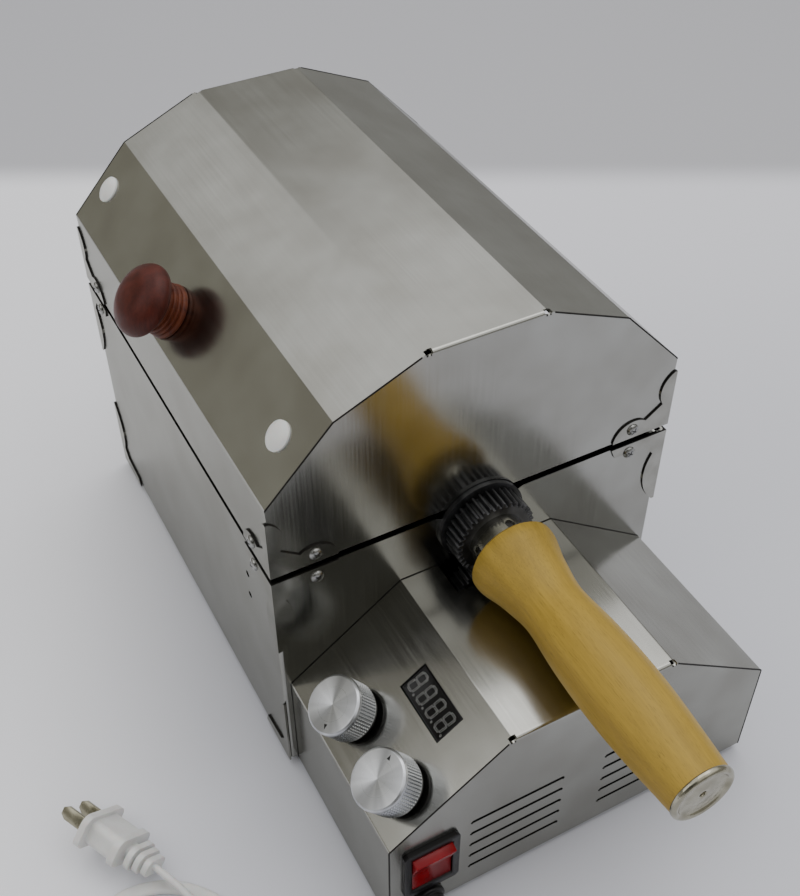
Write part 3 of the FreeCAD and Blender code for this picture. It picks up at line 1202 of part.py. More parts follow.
def make_switch():
    """Rocker switch: a moulded frame with bezel, a rocker on its pivot and blade terminals."""
    mid = (NOSE, "-switch_side", f"{BASE} + switch_rise")
    body = part_body("switch_frame")
    rim = sketch(body, "YZ_Plane", "switch_bezel")
    w, h, c = "(switch_width / 2)", "(switch_height / 2)", "bezel_corner"
    outline(rim, [(f"-{w} + {c}", f"-{h}"), (f"{w} - {c}", f"-{h}"), (w, f"-{h} + {c}"),
                  (w, f"{h} - {c}"), (f"{w} - {c}", h), (f"-{w} + {c}", h),
                  (f"-{w}", f"{h} - {c}"), (f"-{w}", f"-{h} + {c}")])
    pad(body, rim, "bezel_height")
    shank = sketch(body, "YZ_Plane", "switch_shank")
    in_w = "(switch_width / 2 - switch_shank_inset)"
    in_h = "(switch_height / 2 - switch_shank_inset)"
    outline(shank, [(f"-{in_w}", f"-{in_h}"), (in_w, f"-{in_h}"), (in_w, in_h), (f"-{in_w}", in_h)])
    pad(body, shank, "switch_depth", backwards=True)
    well = sketch(body, "YZ_Plane", "switch_well", "bezel_height")
    well_w, well_h = "(rocker_width / 2 + rocker_side_gap)", "(rocker_radius + rocker_end_gap)"
    outline(well, [(f"-{well_w}", f"-{well_h}"), (well_w, f"-{well_h}"), (well_w, well_h),
                   (f"-{well_w}", well_h)])
    pocket(body, well, "rocker_well")
    node("switch_frame", stand(body, mid))
    rocker = part_body("rocker")
    side_view = sketch(rocker, "XZ_Plane", "rocker_profile", "-rocker_width / 2")
    crown_x = "rocker_radius * sin(rocker_crown_angle) - rocker_back"
    crown_z = "rocker_radius * cos(rocker_crown_angle)"
    root_x = "-rocker_radius * sin(rocker_root_angle) - rocker_back"
    root_z = "rocker_radius * cos(rocker_root_angle)"
    bow = "rocker_radius * (1 - cos((rocker_crown_angle + rocker_root_angle) / 2))"
    outline(side_view, [("rocker_crease", "0"), (crown_x, f"-{crown_z}", f"-({bow})"),
                        (root_x, f"-{root_z}"), (root_x, root_z, f"-({bow})"),
                        (crown_x, crown_z)])
    pad(rocker, side_view, "rocker_width")
    pivot_turn = Rotation(Vector(0, 1, 0), number("rocker_tilt"))
    stand(rocker, mid, pivot_turn)
    node("switch_rocker", rocker)
    blades = [block(f"switch_blade_{index}", ("terminal_length", "terminal_width", "terminal_sheet"),
                    (f"{NOSE} - switch_depth - terminal_length / 2", "-switch_side",
                     f"{BASE} + switch_rise + {index - 1} * terminal_pitch"))
              for index in range(3)]
    node("switch_terminals", group("switch_terminals", *blades))


def make_gland():
    """Flexible cord bushing snapped into the front panel."""
    at_y, at_z = "-gland_side", f"{BASE} + gland_rise"
    head = rod("gland_head", "gland_radius", "gland_head", (NOSE, at_y, at_z))
    neck = rod("gland_neck", "gland_radius - gland_neck_inset", "sheet + gland_neck",
               (f"{NOSE} - sheet - gland_neck", at_y, at_z))
    sleeve = DOC.addObject("Part::Cone", "gland_sleeve")
    drive(sleeve, Radius1="gland_radius - gland_sleeve_inset",
          Radius2="cord_radius + gland_tip_wall", Height="gland_sleeve")
    stand(sleeve, (f"{NOSE} + gland_head", at_y, at_z), ALONG_X)
    node("cord_bushing", fuse("cord_bushing", head, neck, sleeve))


def make_drive():
    """Gear motor on its bracket, with the pinion that turns the drum's gear."""
    face_x = f"({FRONT} + motor_face)"
    body_z = f"({PINION_AXIS} - motor_offset)"
    gearbox = rod("gearbox", "motor_radius", "gearbox_length", (face_x, "0", body_z))
    boss = rod("gearbox_boss", "motor_boss_radius", "motor_boss",
               (f"{face_x} - motor_boss", "0", PINION_AXIS))
    boss_bore = rod("gearbox_bore", "motor_shaft_radius + running_gap", "motor_bore",
                    (f"{face_x} - motor_plate - over", "0", PINION_AXIS))
    node("motor_gearbox", cut("motor_gearbox", fuse("gearbox_blank", gearbox, boss), boss_bore))
    can = rod("motor_can_tube", "motor_radius - motor_can_inset", "motor_length",
              (f"{face_x} + gearbox_length", "0", body_z))
    tail = rod("motor_tail", "motor_tail_radius", "motor_tail",
               (f"{face_x} + gearbox_length + motor_length", "0", body_z))
    node("motor_can", fuse("motor_can", can, tail))
    low = f"({BASE} + sheet)"
    top = f"({body_z} + motor_radius + motor_plate_top)"
    plate = block("bracket_face", ("motor_plate", "motor_plate_width", f"{top} - {low}"),
                  (f"{face_x} - motor_plate / 2", "0", f"({top} + {low}) / 2"))
    foot = block("bracket_base", ("motor_foot", "motor_plate_width", "motor_plate"),
                 (f"{face_x} - motor_plate + motor_foot / 2", "0", f"{low} + motor_plate / 2"))
    window = rod("bracket_window", "motor_boss_radius + motor_boss_gap", "motor_plate + 2 * over",
                 (f"{face_x} - motor_plate - over", "0", PINION_AXIS))
    node("motor_bracket", cut("motor_bracket", fuse("bracket_ell", plate, foot), window))
    pinion_x = f"({GEAR_REAR} + (gear_width - pinion_width) / 2)"
    pinion = make_gear("pinion", "pinion_width", "motor_shaft_radius")
    node("motor_pinion", stand(pinion, (pinion_x, "0", PINION_AXIS)))
    shaft = rod("motor_shaft_rod", "motor_shaft_radius",
                f"{face_x} + motor_shaft_inside - {pinion_x} + motor_shaft_tip",
                (f"{pinion_x} - motor_shaft_tip", "0", PINION_AXIS))
    node("motor_shaft", shaft)


def make_electrics():
    """Control board on spacers and an enclosed power supply on the bottom plate."""
    floor = f"({BASE} + sheet)"
    mid_x, mid_y = f"({FRONT} + board_middle)", "-board_side"
    board_top = f"({floor} + spacer_height + board_sheet)"
    spots = [(f"{mid_x} + {x} * (board_length / 2 - spacer_inset)",
              f"{mid_y} + {y} * (board_width / 2 - spacer_inset)")
             for x in (-1, 1) for y in (-1, 1)]
    spacers = [rod(f"spacer_{i}", "spacer_radius", "spacer_height", (x, y, floor), UP)
               for i, (x, y) in enumerate(spots)]
    board = block("control_board_plate", ("board_length", "board_width", "board_sheet"),
                  (mid_x, mid_y, f"{board_top} - board_sheet / 2"))
    relay = block("board_relay", ("relay_length", "relay_width", "relay_height"),
                  (f"{mid_x} - relay_back", f"{mid_y} - relay_out", f"{board_top} + relay_height / 2"))
    capacitor = rod("board_capacitor", "capacitor_radius", "capacitor_height",
                    (f"{mid_x} + capacitor_fore", f"{mid_y} + capacitor_in", board_top), UP)
    populated = fuse("board_with_parts", board, relay, capacitor)
    node("control_board", group("control_board", populated, *spacers))
    supply = block("supply_case", ("supply_length", "supply_width", "supply_height"),
                   (f"{FRONT} + supply_middle", "supply_side", f"{floor} + supply_height / 2"))
    node("power_supply", supply)


# --- drum ---------------------------------------------------------------------------------
def make_drum():
    """Perforated drum tube with a hatch opening, modelled about its own axis."""
    body = part_body("drum")
    wall = sketch(body, "YZ_Plane", "drum_wall")
    circle(wall, "0", "0", "drum_radius")
    circle(wall, "0", "0", "drum_radius - drum_sheet")
    pad(body, wall, "drum_length", centred=True)
    slot = sketch(body, "XY_Plane", "drum_slot")
    first = "-drum_slot_pitch * (drum_slot_rows - 1) / 2"
    for row in range(int(number("drum_slot_rows"))):
        mid = f"({first} + {row} * drum_slot_pitch)"
        end = "(drum_slot_length / 2 - drum_slot_width / 2)"
        half = "(drum_slot_width / 2)"
        outline(slot, [(f"{mid} - {end}", f"-{half}"), (f"{mid} + {end}", f"-{half}", ROUND),
                       (f"{mid} + {end}", half), (f"{mid} - {end}", half, ROUND)])
    row_cut = pocket(body, slot, "drum_radius + 2 * over", backwards=True)
    polar(body, row_cut, "drum_slot_columns")
    mouth = rod("hatch_mouth_sector", "drum_radius + 2 * over", "hatch_length",
                ("0", "0", "0"), ALONG_X, "hatch_angle")
    centre_sector(mouth, "0", "hatch_angle")
    drum = cut("drum_with_mouth", body, mouth)
    node("drum_tube", stand(drum, ("0", "0", AXIS)))


def centre_sector(item, start_x, angle):
    """Turn a sector so that it lies evenly about the top of the drum."""
    half = number(angle) / 2
    turn = Rotation(Vector(1, 0, 0), -half).multiply(ALONG_X).multiply(
        Rotation(Vector(0, 0, 1), 180))
    stand(item, (start_x, "0", "0"), turn)


def sector(name, outer, inner, length, start_x, angle, skew=0.0):
    """A curved plate between two radii, evenly about the top or skewed from it."""
    whole = rod(name + "_outer", outer, length, ("0", "0", "0"), ALONG_X, angle)
    core = rod(name + "_inner", inner, length, ("0", "0", "0"), ALONG_X, angle)
    for item in (whole, core):
        centre_sector(item, start_x, angle)
        if skew:
            item.Placement = Placement(item.Placement.Base,
                                       Rotation(Vector(1, 0, 0), skew).multiply(item.Placement.Rotation))
    return cut(name, whole, core)


def make_hatch():
    """Sliding hatch over the drum's opening, and its two rails."""
    wide = "(hatch_angle + 2 * hatch_side_lap)"
    inner = "(drum_radius + slide_gap)"
    outer = f"({inner} + drum_sheet)"
    plate = sector("hatch_plate", outer, inner, "hatch_length + 2 * hatch_lap",
                   "-hatch_lap", wide)
    tab = block("hatch_tab", ("tab_sheet", "tab_width", "tab_height"),
                ("hatch_length + hatch_lap - tab_inset", "0",
                 f"{outer} + tab_height / 2 - tab_root"))
    hatch = fuse("hatch_solid", plate, tab)
    node("drum_hatch", stand(hatch, ("0", "0", AXIS)))
    rails = []
    lip_in = f"({outer} + slide_gap)"
    lip_out = f"({lip_in} + rail_sheet)"
    start = "-rail_length + hatch_length + hatch_lap + rail_overrun"
    edge = number(f"{wide} / 2 + rail_gap_angle")
    web_edge = edge + number("rail_web_angle / 2")
    for side in (-1, 1):
        web = sector(f"rail_web_{side + 1}", lip_out, "drum_radius", "rail_length", start,
                     "rail_web_angle", side * web_edge)
        lip = sector(f"rail_lip_{side + 1}", lip_out, lip_in, "rail_length", start,
                     "rail_lip_angle", side * edge)
        rails.append(stand(fuse(f"rail_{side + 1}", web, lip), ("0", "0", AXIS)))
    node("hatch_rails", group("hatch_rails", *rails))


def make_drum_ends():
    """Slotted end plates with hubs, stirring vanes and the through shaft."""
    for where, end in (("front", 1), ("rear", -1)):
        body = part_body(f"drum_plate_{where}")
        disc = sketch(body, "YZ_Plane", f"plate_disc_{where}")
        circle(disc, "0", "0", "drum_radius - drum_sheet")
        circle(disc, "0", "0", "shaft_radius")
        pad(body, disc, "plate_sheet")
        hub = sketch(body, "YZ_Plane", f"plate_hub_{where}", "plate_sheet")
        circle(hub, "0", "0", "shaft_radius + drum_hub_wall")
        circle(hub, "0", "0", "shaft_radius")
        pad(body, hub, "drum_hub_length")
        slit = sketch(body, "YZ_Plane", f"plate_slit_{where}")
        outline(slit, [("-slit_width / 2", "slit_inner"), ("slit_width / 2", "slit_inner"),
                       ("slit_width / 2", "slit_outer"), ("-slit_width / 2", "slit_outer")])
        cutting = pocket(body, slit, "plate_sheet", backwards=True)
        polar(body, cutting, "plate_slits")
        inner_face = "drum_length / 2 - plate_inset - plate_sheet"
        turn = UP if end > 0 else Rotation(Vector(0, 0, 1), 180)
        node(f"drum_{where}_plate", stand(body, (f"{end} * ({inner_face})", "0", AXIS), turn))
    vanes = []
    reach = "(drum_radius - drum_sheet - vane_gap)"
    count = int(number("vane_count"))
    for index in range(count):
        vane = DOC.addObject("Part::Box", f"vane_{index}")
        long = "(drum_length - 2 * (plate_inset + plate_sheet + vane_end_gap))"
        drive(vane, Length=long, Width="vane_sheet", Height="vane_height")
        angle = 180 / count + 360 * index / count
        holder = stand(vane, (f"-{long} / 2", "0", "0"), Rotation(Vector(1, 0, 0), angle))
        radius = f"({reach} - vane_height)"
        drive(holder,
              Placement__Base__y=f"-{radius} * sin({angle}) - vane_sheet / 2 * cos({angle})",
              Placement__Base__z=f"{AXIS} + {radius} * cos({angle}) - vane_sheet / 2 * sin({angle})")
        vanes.append(holder)
    node("drum_vanes", group("drum_vanes", *vanes))
    start = f"({FRONT} + bush_flange + shaft_stub)"
    node("drum_shaft", rod("drum_shaft_rod", "shaft_radius",
                           f"{HANDLE_START} + handle_bore + {start}", (f"-{start}", "0", AXIS)))
    collar_x = f"-({FRONT} + bush_flange + shaft_collar_gap + shaft_collar_length)"
    collar = ring("shaft_collar_ring", "shaft_radius + shaft_collar_wall", "shaft_radius",
                  "shaft_collar_length", (collar_x, "0", AXIS))
    node("shaft_collar", collar)


def make_bushes():
    """Flanged bushes that sit in the tub's notches and carry the shaft."""
    for where, end in (("front", 1), ("rear", -1)):
        turn = ALONG_X if end > 0 else AGAINST_X
        flange = rod(f"bush_flange_{where}", "bush_flange_radius", "bush_flange",
                     (f"{end} * {FRONT}", "0", AXIS), turn)
        barrel = rod(f"bush_barrel_{where}", "notch_radius - seat_gap", "sheet + bush_barrel",
                     (f"{end} * ({FRONT} - sheet - bush_barrel)", "0", AXIS), turn)
        bore = rod(f"bush_bore_{where}", "shaft_radius + running_gap", "sheet + bush_bore",
                   (f"{end} * ({FRONT} - sheet - bush_bore_start)", "0", AXIS), turn)
        node(f"{where}_bush", cut(f"{where}_bush", fuse(f"bush_blank_{where}", flange, barrel), bore))


def tooth_half_angle(radius, teeth, module):
    """Half the angle that an involute tooth fills at a radius, in degrees."""
    pitch = module * teeth / 2
    base = pitch * math.cos(math.radians(number("pressure_angle")))

    def involute(at):
        angle = math.acos(min(1.0, base / at))
        return math.tan(angle) - angle
    return math.degrees(math.pi / (2 * teeth) + involute(pitch) - involute(max(radius, base)))


def make_gear(name, width, bore):
    """Spur gear with involute flanks, about the X axis, with a tooth at the top."""
    teeth, module = number("gear_teeth"), number("gear_module")
    pitch = "gear_module * gear_teeth / 2"
    body = part_body(name)
    blank = sketch(body, "YZ_Plane", name + "_blank")
    circle(blank, "0", "0", f"{pitch} - gear_root * gear_module")
    circle(blank, "0", "0", bore)
    pad(body, blank, width)
    tooth = sketch(body, "YZ_Plane", name + "_tooth")
    flank = []
    for depth in ("-gear_root * gear_module - gear_lap", "0", "gear_tip * gear_module"):
        radius = f"({pitch} + {depth})"
        half = tooth_half_angle(number(radius), teeth, module)
        flank.append((radius, half))
    right = [(f"{r} * sin({a})", f"{r} * cos({a})") for r, a in flank]
    left = [(f"-{r} * sin({a})", f"{r} * cos({a})") for r, a in flank[::-1]]
    outline(tooth, right + left)
    polar(body, pad(body, tooth, width), "gear_teeth")
    return body


def make_gear_and_hub():
    """Drum gear and the hub in front of it, with radial set screws."""
    gear = make_gear("drum_gear", "gear_width", "shaft_radius")
    node("drum_gear", stand(gear, (GEAR_REAR, "0", AXIS)))
    hub = ring("hub_ring", "hub_radius", "shaft_radius", "hub_length", (GEAR_FRONT, "0", AXIS))
    holes, screws = [], []
    mid_x = f"{GEAR_FRONT} + hub_length / 2"
    for index, angle in enumerate((-12.0, 78.0)):
        turn = Rotation(Vector(1, 0, 0), angle)
        holes.append(rod(f"set_hole_{index}", "set_hole_radius", "set_hole_length",
                         (mid_x, "0", AXIS), turn))
        y, z = f"-sin({angle}) * shaft_radius", f"{AXIS} + cos({angle}) * shaft_radius"
        screws.append(rod(f"set_screw_{index}", "set_screw_radius",
                          "hub_radius - shaft_radius - set_screw_sink", (mid_x, y, z), turn))
    node("gear_hub", cut("gear_hub", hub, *holes))
    node("hub_set_screws", group("hub_set_screws", *screws))


def make_handle():
    """Turned wooden handle on the shaft, with a nickelled cap at its end."""
    start, length = number(HANDLE_START), number("handle_length")
    flare, neck = number("handle_flare"), number("handle_neck")
    swell, tip = number("handle_swell"), number("handle_tip")
    edge = number("handle_edge")
    stations = [(edge, flare), (0.045, flare * 0.99), (0.105, flare * 0.88), (0.17, flare * 0.79),
                (0.25, neck), (0.36, neck * 1.06), (0.55, swell), (0.72, swell * 0.985),
                (0.88, (swell + tip) / 2 - 0.2), (1.0, tip)]
    points = [Vector(x if x == edge else x * length, 0, r) for x, r in stations]
    curve = Part.BSplineCurve()
    curve.interpolate(points)
    face_radius = flare - edge
    bevel = Part.LineSegment(Vector(0, 0, face_radius), points[0])
    face = Part.LineSegment(Vector(0, 0, 0), Vector(0, 0, face_radius))
    end = Part.LineSegment(points[-1], Vector(length, 0, 0))
    axis = Part.LineSegment(Vector(length, 0, 0), Vector(0, 0, 0))
    wire = Part.Wire([piece.toShape() for piece in (face, bevel, curve, end, axis)])
    turned = Part.Face(wire).revolve(Vector(0, 0, 0), Vector(1, 0, 0), 360)
    blank = DOC.addObject("Part::Feature", "handle_turned")
    blank.Shape = turned
    stand(blank, (HANDLE_START, "0", AXIS))
    bore = rod("handle_bore_rod", "shaft_radius", "handle_bore", (HANDLE_START, "0", AXIS))
    socket = rod("handle_socket_rod", "cap_stem_radius", "handle_socket",
                 (f"{HANDLE_END} - handle_socket", "0", AXIS))
    node("wooden_handle", cut("wooden_handle", blank, bore, socket))
    body = part_body("end_cap")
    profile = sketch(body, "XZ_Plane", "end_cap_profile")
    thick, low = "cap_thickness", "cap_thickness - cap_recess_depth"
    outline(profile, [("-cap_stem", "0"), ("-cap_stem", "cap_stem_radius"),
                      ("0", "cap_stem_radius"), ("0", "cap_radius"),
                      (f"{thick} * 0.3", "cap_radius", "-cap_dome"), (thick, "cap_recess"),
                      (low, "cap_recess"), (low, "0")])
    revolve(body, profile, "X_Axis")
    node("handle_end_cap", stand(body, (HANDLE_END, "0", AXIS)))


# --- mains cord ---------------------------------------------------------------------------
PLUG_HEADING = 28.0
PLUG_PITCH = 4.6
PLUG_ROLL = -44.0
PLUG_TURN = (Rotation(Vector(0, 0, 1), PLUG_HEADING) * Rotation(Vector(0, 1, 0), PLUG_PITCH)
             * Rotation(Vector(1, 0, 0), PLUG_ROLL))
PLUG_END = Vector(138.8, -169.2, 10.95)
COIL_MIDDLE = Vector(212, -190, 0.2)
CORD_TO_COIL = [
    Vector(228.7, -73.6, 11.6), Vector(242.7, -73.6, 11.2), Vector(257.5, -81.9, 8.2),
    Vector(266.4, -96.4, 4.8), Vector(267.0, -113.4, 3.2), Vector(259.2, -128.5, 3.2),
    Vector(245.1, -137.9, 3.2), Vector(222.0, -139.6, 3.2), Vector(200.0, -140.2, 3.2),
    Vector(178.5, -143.5, 3.2), Vector(158.5, -151.5, 3.2), Vector(144.5, -165.0, 3.2),
    Vector(139.0, -183.0, 3.2), Vector(144.0, -200.5, 3.2), Vector(156.5, -212.5, 3.2),
    Vector(172.0, -218.3, 3.2), Vector(187.0, -222.5, 3.2)]
CORD_TO_PLUG = [
    Vector(190.0, -155.2, 9.4), Vector(171.0, -157.2, 9.6),
    PLUG_END + PLUG_TURN.multVec(Vector(16, 0, 0)), PLUG_END]


def cord_tube(name, route):
    """A round cord along straight runs joined by tangent arcs, as wide as the runs allow."""
    radius = number("cord_radius")
    edges, radii = [], []
    here = route[0]
    for before, corner, after in zip(route, route[1:], route[2:]):
        way_in, way_out = corner - before, after - corner
        turn = way_in.getAngle(way_out)
        bend = 0.45 * min(way_in.Length, way_out.Length) / math.tan(turn / 2)
        radii.append(round(bend, 1))
        reach = bend * math.tan(turn / 2)
        into = corner - way_in.normalize() * reach
        out_of = corner + way_out.normalize() * reach
        inward = ((into + out_of) * 0.5 - corner).normalize()
        crown = corner + inward * (bend / math.cos(turn / 2) - bend)
        edges.append(Part.LineSegment(here, into).toShape())
        edges.append(Part.Arc(into, crown, out_of).toShape())
        here = out_of
    edges.append(Part.LineSegment(here, route[-1]).toShape())
    wire = Part.Wire(edges)
    start = Part.Circle(route[0], route[1] - route[0], radius)
    tube = Part.Wire([start.toShape()])
    solid = wire.makePipeShell([tube], True, False)
    ratio = solid.Volume / (math.pi * radius ** 2 * wire.Length)
    print(f"{name}: {wire.Length:.0f} mm, radii {radii}, volume ratio {ratio:.3f}")
    item = DOC.addObject("Part::Feature", name)
    item.Shape = solid
    return node(name, item)


def make_cord():
    """Mains cord from the bushing to its plug, with the spare length coiled beside it."""
    cord_tube("power_cord", CORD_TO_COIL)
    cord_tube("plug_cord", CORD_TO_PLUG)
    body = part_body("coil")
    profile = sketch(body, "XZ_Plane", "coil_profile")
    low, high = "coil_inner", "coil_outer"
    tall, corner = "(4 * cord_radius)", "(cord_radius / 2)"
    outline(profile, [(f"{low} + {corner}", "0"), (f"{high} - {corner}", "0"), (high, corner),
                      (high, f"{tall} - {corner}"), (f"{high} - {corner}", tall),
                      (f"{low} + {corner}", tall), (low, f"{tall} - {corner}"), (low, corner)])
    revolve(body, profile, "Z_Axis")
    body.Placement = Placement(COIL_MIDDLE, UP)
    node("cord_coil", body)


def bar(name, near, length, width, height, corner):
    """A bar along the plug's axis, from its near end away from the cord, with rounded edges."""
    box = DOC.addObject("Part::Box", name + "_blank")
    drive(box, Length=length, Width=width, Height=height)
    stand(box, (f"-({near}) - ({length})", f"-({width}) / 2", f"-({height}) / 2"))
    DOC.recompute()
    fillet = DOC.addObject("Part::Fillet", name)
    fillet.Base = box
    fillet.Edges = [(index + 1, number(corner), number(corner))
                    for index, edge in enumerate(box.Shape.Edges)
                    if runs_along(edge, Vector(1, 0, 0))]
    return fillet


def make_plug():
    """Moulded mains plug: a flange, a waisted body, a slotted relief and two flat blades."""
    moulded = [
        bar("plug_flange", "plug_relief + plug_length - plug_flange", "plug_flange",
            "flange_width", "flange_height", "flange_height * 0.29"),
        bar("plug_block", "plug_relief", "plug_length - plug_flange", "plug_width", "plug_height",
            "plug_height * 0.3"),
        bar("plug_heel", "plug_relief", "heel_length", "heel_width", "heel_height",
            "heel_height * 0.3"),
        bar("plug_core", "plug_core_start", "plug_relief - plug_core_start", "relief_width * 0.5",
            "relief_height * 0.5", "relief_height * 0.24")]
    step = "(plug_relief - collar_length) / (relief_collars - 0.2)"
    for index in range(int(number("relief_collars"))):
        size = f"(1 - relief_taper * (1 - {index} / (relief_collars - 1)))"
        moulded.append(bar(f"plug_collar_{index}", f"{step} * {index}", "collar_length",
                           f"relief_width * {size}", f"relief_height * {size}",
                           f"relief_height * {size} * 0.42"))
    blades = []
    for side in (-1, 1):
        blade = DOC.addObject("Part::Box", f"plug_blade_{side + 1}")
        drive(blade, Length="blade_length + blade_root", Width="blade_sheet", Height="blade_width")
        stand(blade, ("-plug_relief - plug_length - blade_length",
                      f"{side} * blade_spread / 2 - blade_sheet / 2", "-blade_width / 2"))
        blades.append(blade)
    moulding = cut("plug_moulding", fuse("plug_solid", *moulded), *blades)
    moulding.Placement = Placement(PLUG_END, PLUG_TURN)
    node("plug_body", moulding)
    pair = group("plug_blades", *blades)
    pair.Placement = Placement(PLUG_END, PLUG_TURN)
    node("plug_blades", pair)


def check_and_export():
    """Stop on any failed object, then write one STEP file for each sub-part."""
    DOC.recompute()
    for item in DOC.Objects:
        if any(word in item.State for word in ("Invalid", "Error")):
            raise RuntimeError(f"{item.Name} failed: {item.State}")
    os.makedirs("parts", exist_ok=True)
    for name, item in NODES.items():
        shape = item.Shape
        if shape.isNull() or not shape.isValid() or not shape.Solids:
            raise RuntimeError(f"{name} has no valid solid")
        shape.exportStep(f"parts/{name}.step")


MAKERS = (make_tub, make_liner, make_heaters, make_probe, make_feet, make_lid, make_lid_knob,
          make_hole_plugs, make_hinges, make_guards, make_screws, make_cover, make_control_base,
          make_display, make_dials, make_switch, make_gland, make_drive, make_electrics, make_drum, make_hatch,
          make_drum_ends, make_bushes, make_gear_and_hub, make_handle, make_cord, make_plug)
for make in MAKERS:
    make()
check_and_export()
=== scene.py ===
"""Countertop drum coffee roaster, dressed for display: finishes, fine detail and studio."""
import json
import logging
import math
from contextlib import contextmanager
from dataclasses import dataclass
from enum import Enum
from typing import Any, Callable, Iterable, Iterator, Optional, Sequence

import bmesh
import bpy
from mathutils import Euler, Matrix, Vector


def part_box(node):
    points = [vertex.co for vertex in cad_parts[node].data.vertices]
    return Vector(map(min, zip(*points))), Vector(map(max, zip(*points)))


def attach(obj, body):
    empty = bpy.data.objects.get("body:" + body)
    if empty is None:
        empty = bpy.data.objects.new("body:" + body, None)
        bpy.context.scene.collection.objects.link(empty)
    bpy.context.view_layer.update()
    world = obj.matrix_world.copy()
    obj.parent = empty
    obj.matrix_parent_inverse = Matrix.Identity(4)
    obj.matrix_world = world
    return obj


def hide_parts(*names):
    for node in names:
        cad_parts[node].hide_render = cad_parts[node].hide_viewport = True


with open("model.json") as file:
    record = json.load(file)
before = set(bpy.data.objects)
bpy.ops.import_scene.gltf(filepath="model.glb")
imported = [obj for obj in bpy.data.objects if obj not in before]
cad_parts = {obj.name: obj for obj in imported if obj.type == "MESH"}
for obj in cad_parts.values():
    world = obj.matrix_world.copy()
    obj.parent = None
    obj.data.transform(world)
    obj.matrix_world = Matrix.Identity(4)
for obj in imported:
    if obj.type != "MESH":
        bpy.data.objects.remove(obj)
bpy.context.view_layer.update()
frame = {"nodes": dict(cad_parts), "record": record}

LOG = logging.getLogger("roaster")
MM = 0.001
Point = tuple[float, float, float]
Mesh, Object, Material = bpy.types.Mesh, bpy.types.Object, bpy.types.Material
Tree, Node, Socket = bpy.types.NodeTree, bpy.types.Node, bpy.types.NodeSocket


# --- small helpers ------------------------------------------------------------------------
def linear(code: str) -> tuple[float, float, float, float]:
    """Turn an sRGB hex colour into linear RGBA.

    Args:
        code: colour as "#rrggbb".
    Returns:
        Red, green, blue and alpha for a colour socket.
    """
    parts = [int(code[at:at + 2], 16) / 255.0 for at in (1, 3, 5)]
    red, green, blue = (p / 12.92 if p <= 0.04045 else ((p + 0.055) / 1.055) ** 2.4 for p in parts)
    return red, green, blue, 1.0


def put(tree: Tree, kind: str, inputs: Optional[dict] = None, **settings: Any) -> Node:
    """Add a node with its settings, values and links.

    Args:
        tree: node tree that gets the node.
        kind: the node's type name.
        inputs: socket name or number, and the value or output socket that feeds it.
        settings: properties of the node itself.
    Returns:
        The new node.
    """
    node = tree.nodes.new(kind)
    for name, value in settings.items():
        setattr(node, name, value)
    for key, value in (inputs or {}).items():
        if isinstance(value, Socket):
            tree.links.new(value, node.inputs[key])
        else:
            node.inputs[key].default_value = value
    return node


def vector(tree: Tree, operation: str, first: Any, second: Any = (0.0, 0.0, 0.0)) -> Socket:
    """Arithmetic on two vectors, by the operation's name."""
    node = put(tree, "ShaderNodeVectorMath", {0: first, 1: second}, operation=operation)
    return node.outputs["Value" if operation in ("DOT_PRODUCT", "LENGTH") else "Vector"]


def span(tree: Tree, value: Socket, low: float, high: float, to: tuple[float, float] = (0.0, 1.0),
         smooth: bool = False) -> Socket:
    """Map a value's span onto another.

    Args:
        tree: node tree that gets the node.
        value: what is mapped.
        low: where the span starts.
        high: where the span ends.
        to: the span that comes out.
        smooth: whether it eases in and out.
    Returns:
        The mapped value.
    """
    inputs = {"Value": value, "From Min": low, "From Max": high, "To Min": to[0], "To Max": to[1]}
    return put(tree, "ShaderNodeMapRange", inputs,
               interpolation_type="SMOOTHSTEP" if smooth else "LINEAR").outputs[0]


def mix(tree: Tree, amount: Any, first: Any, second: Any, blend: str = "MIX") -> Socket:
    """Mix two colours by an amount."""
    return put(tree, "ShaderNodeMix", {0: amount, 6: first, 7: second}, data_type="RGBA",
               blend_type=blend).outputs[2]


def shown(name: str, data: bpy.types.ID) -> Object:
    """Put a mesh, curve, lamp or camera into the scene."""
    made = bpy.data.objects.new(name, data)
    bpy.context.scene.collection.objects.link(made)
    return made


# --- finishes -----------------------------------------------------------------------------
class Grain(Enum):
    """How long the marks of a surface are along X, Y and Z, in millimetres."""

    ROLLED = (60.0, 0.9, 60.0)
    FINE = (0.35, 0.35, 0.35)
    MOULDED = (0.6, 0.6, 0.6)
    CAST = (1.4, 1.4, 1.4)


@dataclass
class Skin:
    """Nodes of one material: its tree, its surface shader and object coordinates in metres."""

    tree: Tree
    shader: Node
    place: Socket


MADE: dict[str, Material] = {}
COAT_ROUGHNESS = 0.08
SCATTER_REACH = 3.0 * MM
# Noise keeps to the middle of its range; this part of it is stretched over marks from 0 to 1.
NOISE = (0.3, 0.7)


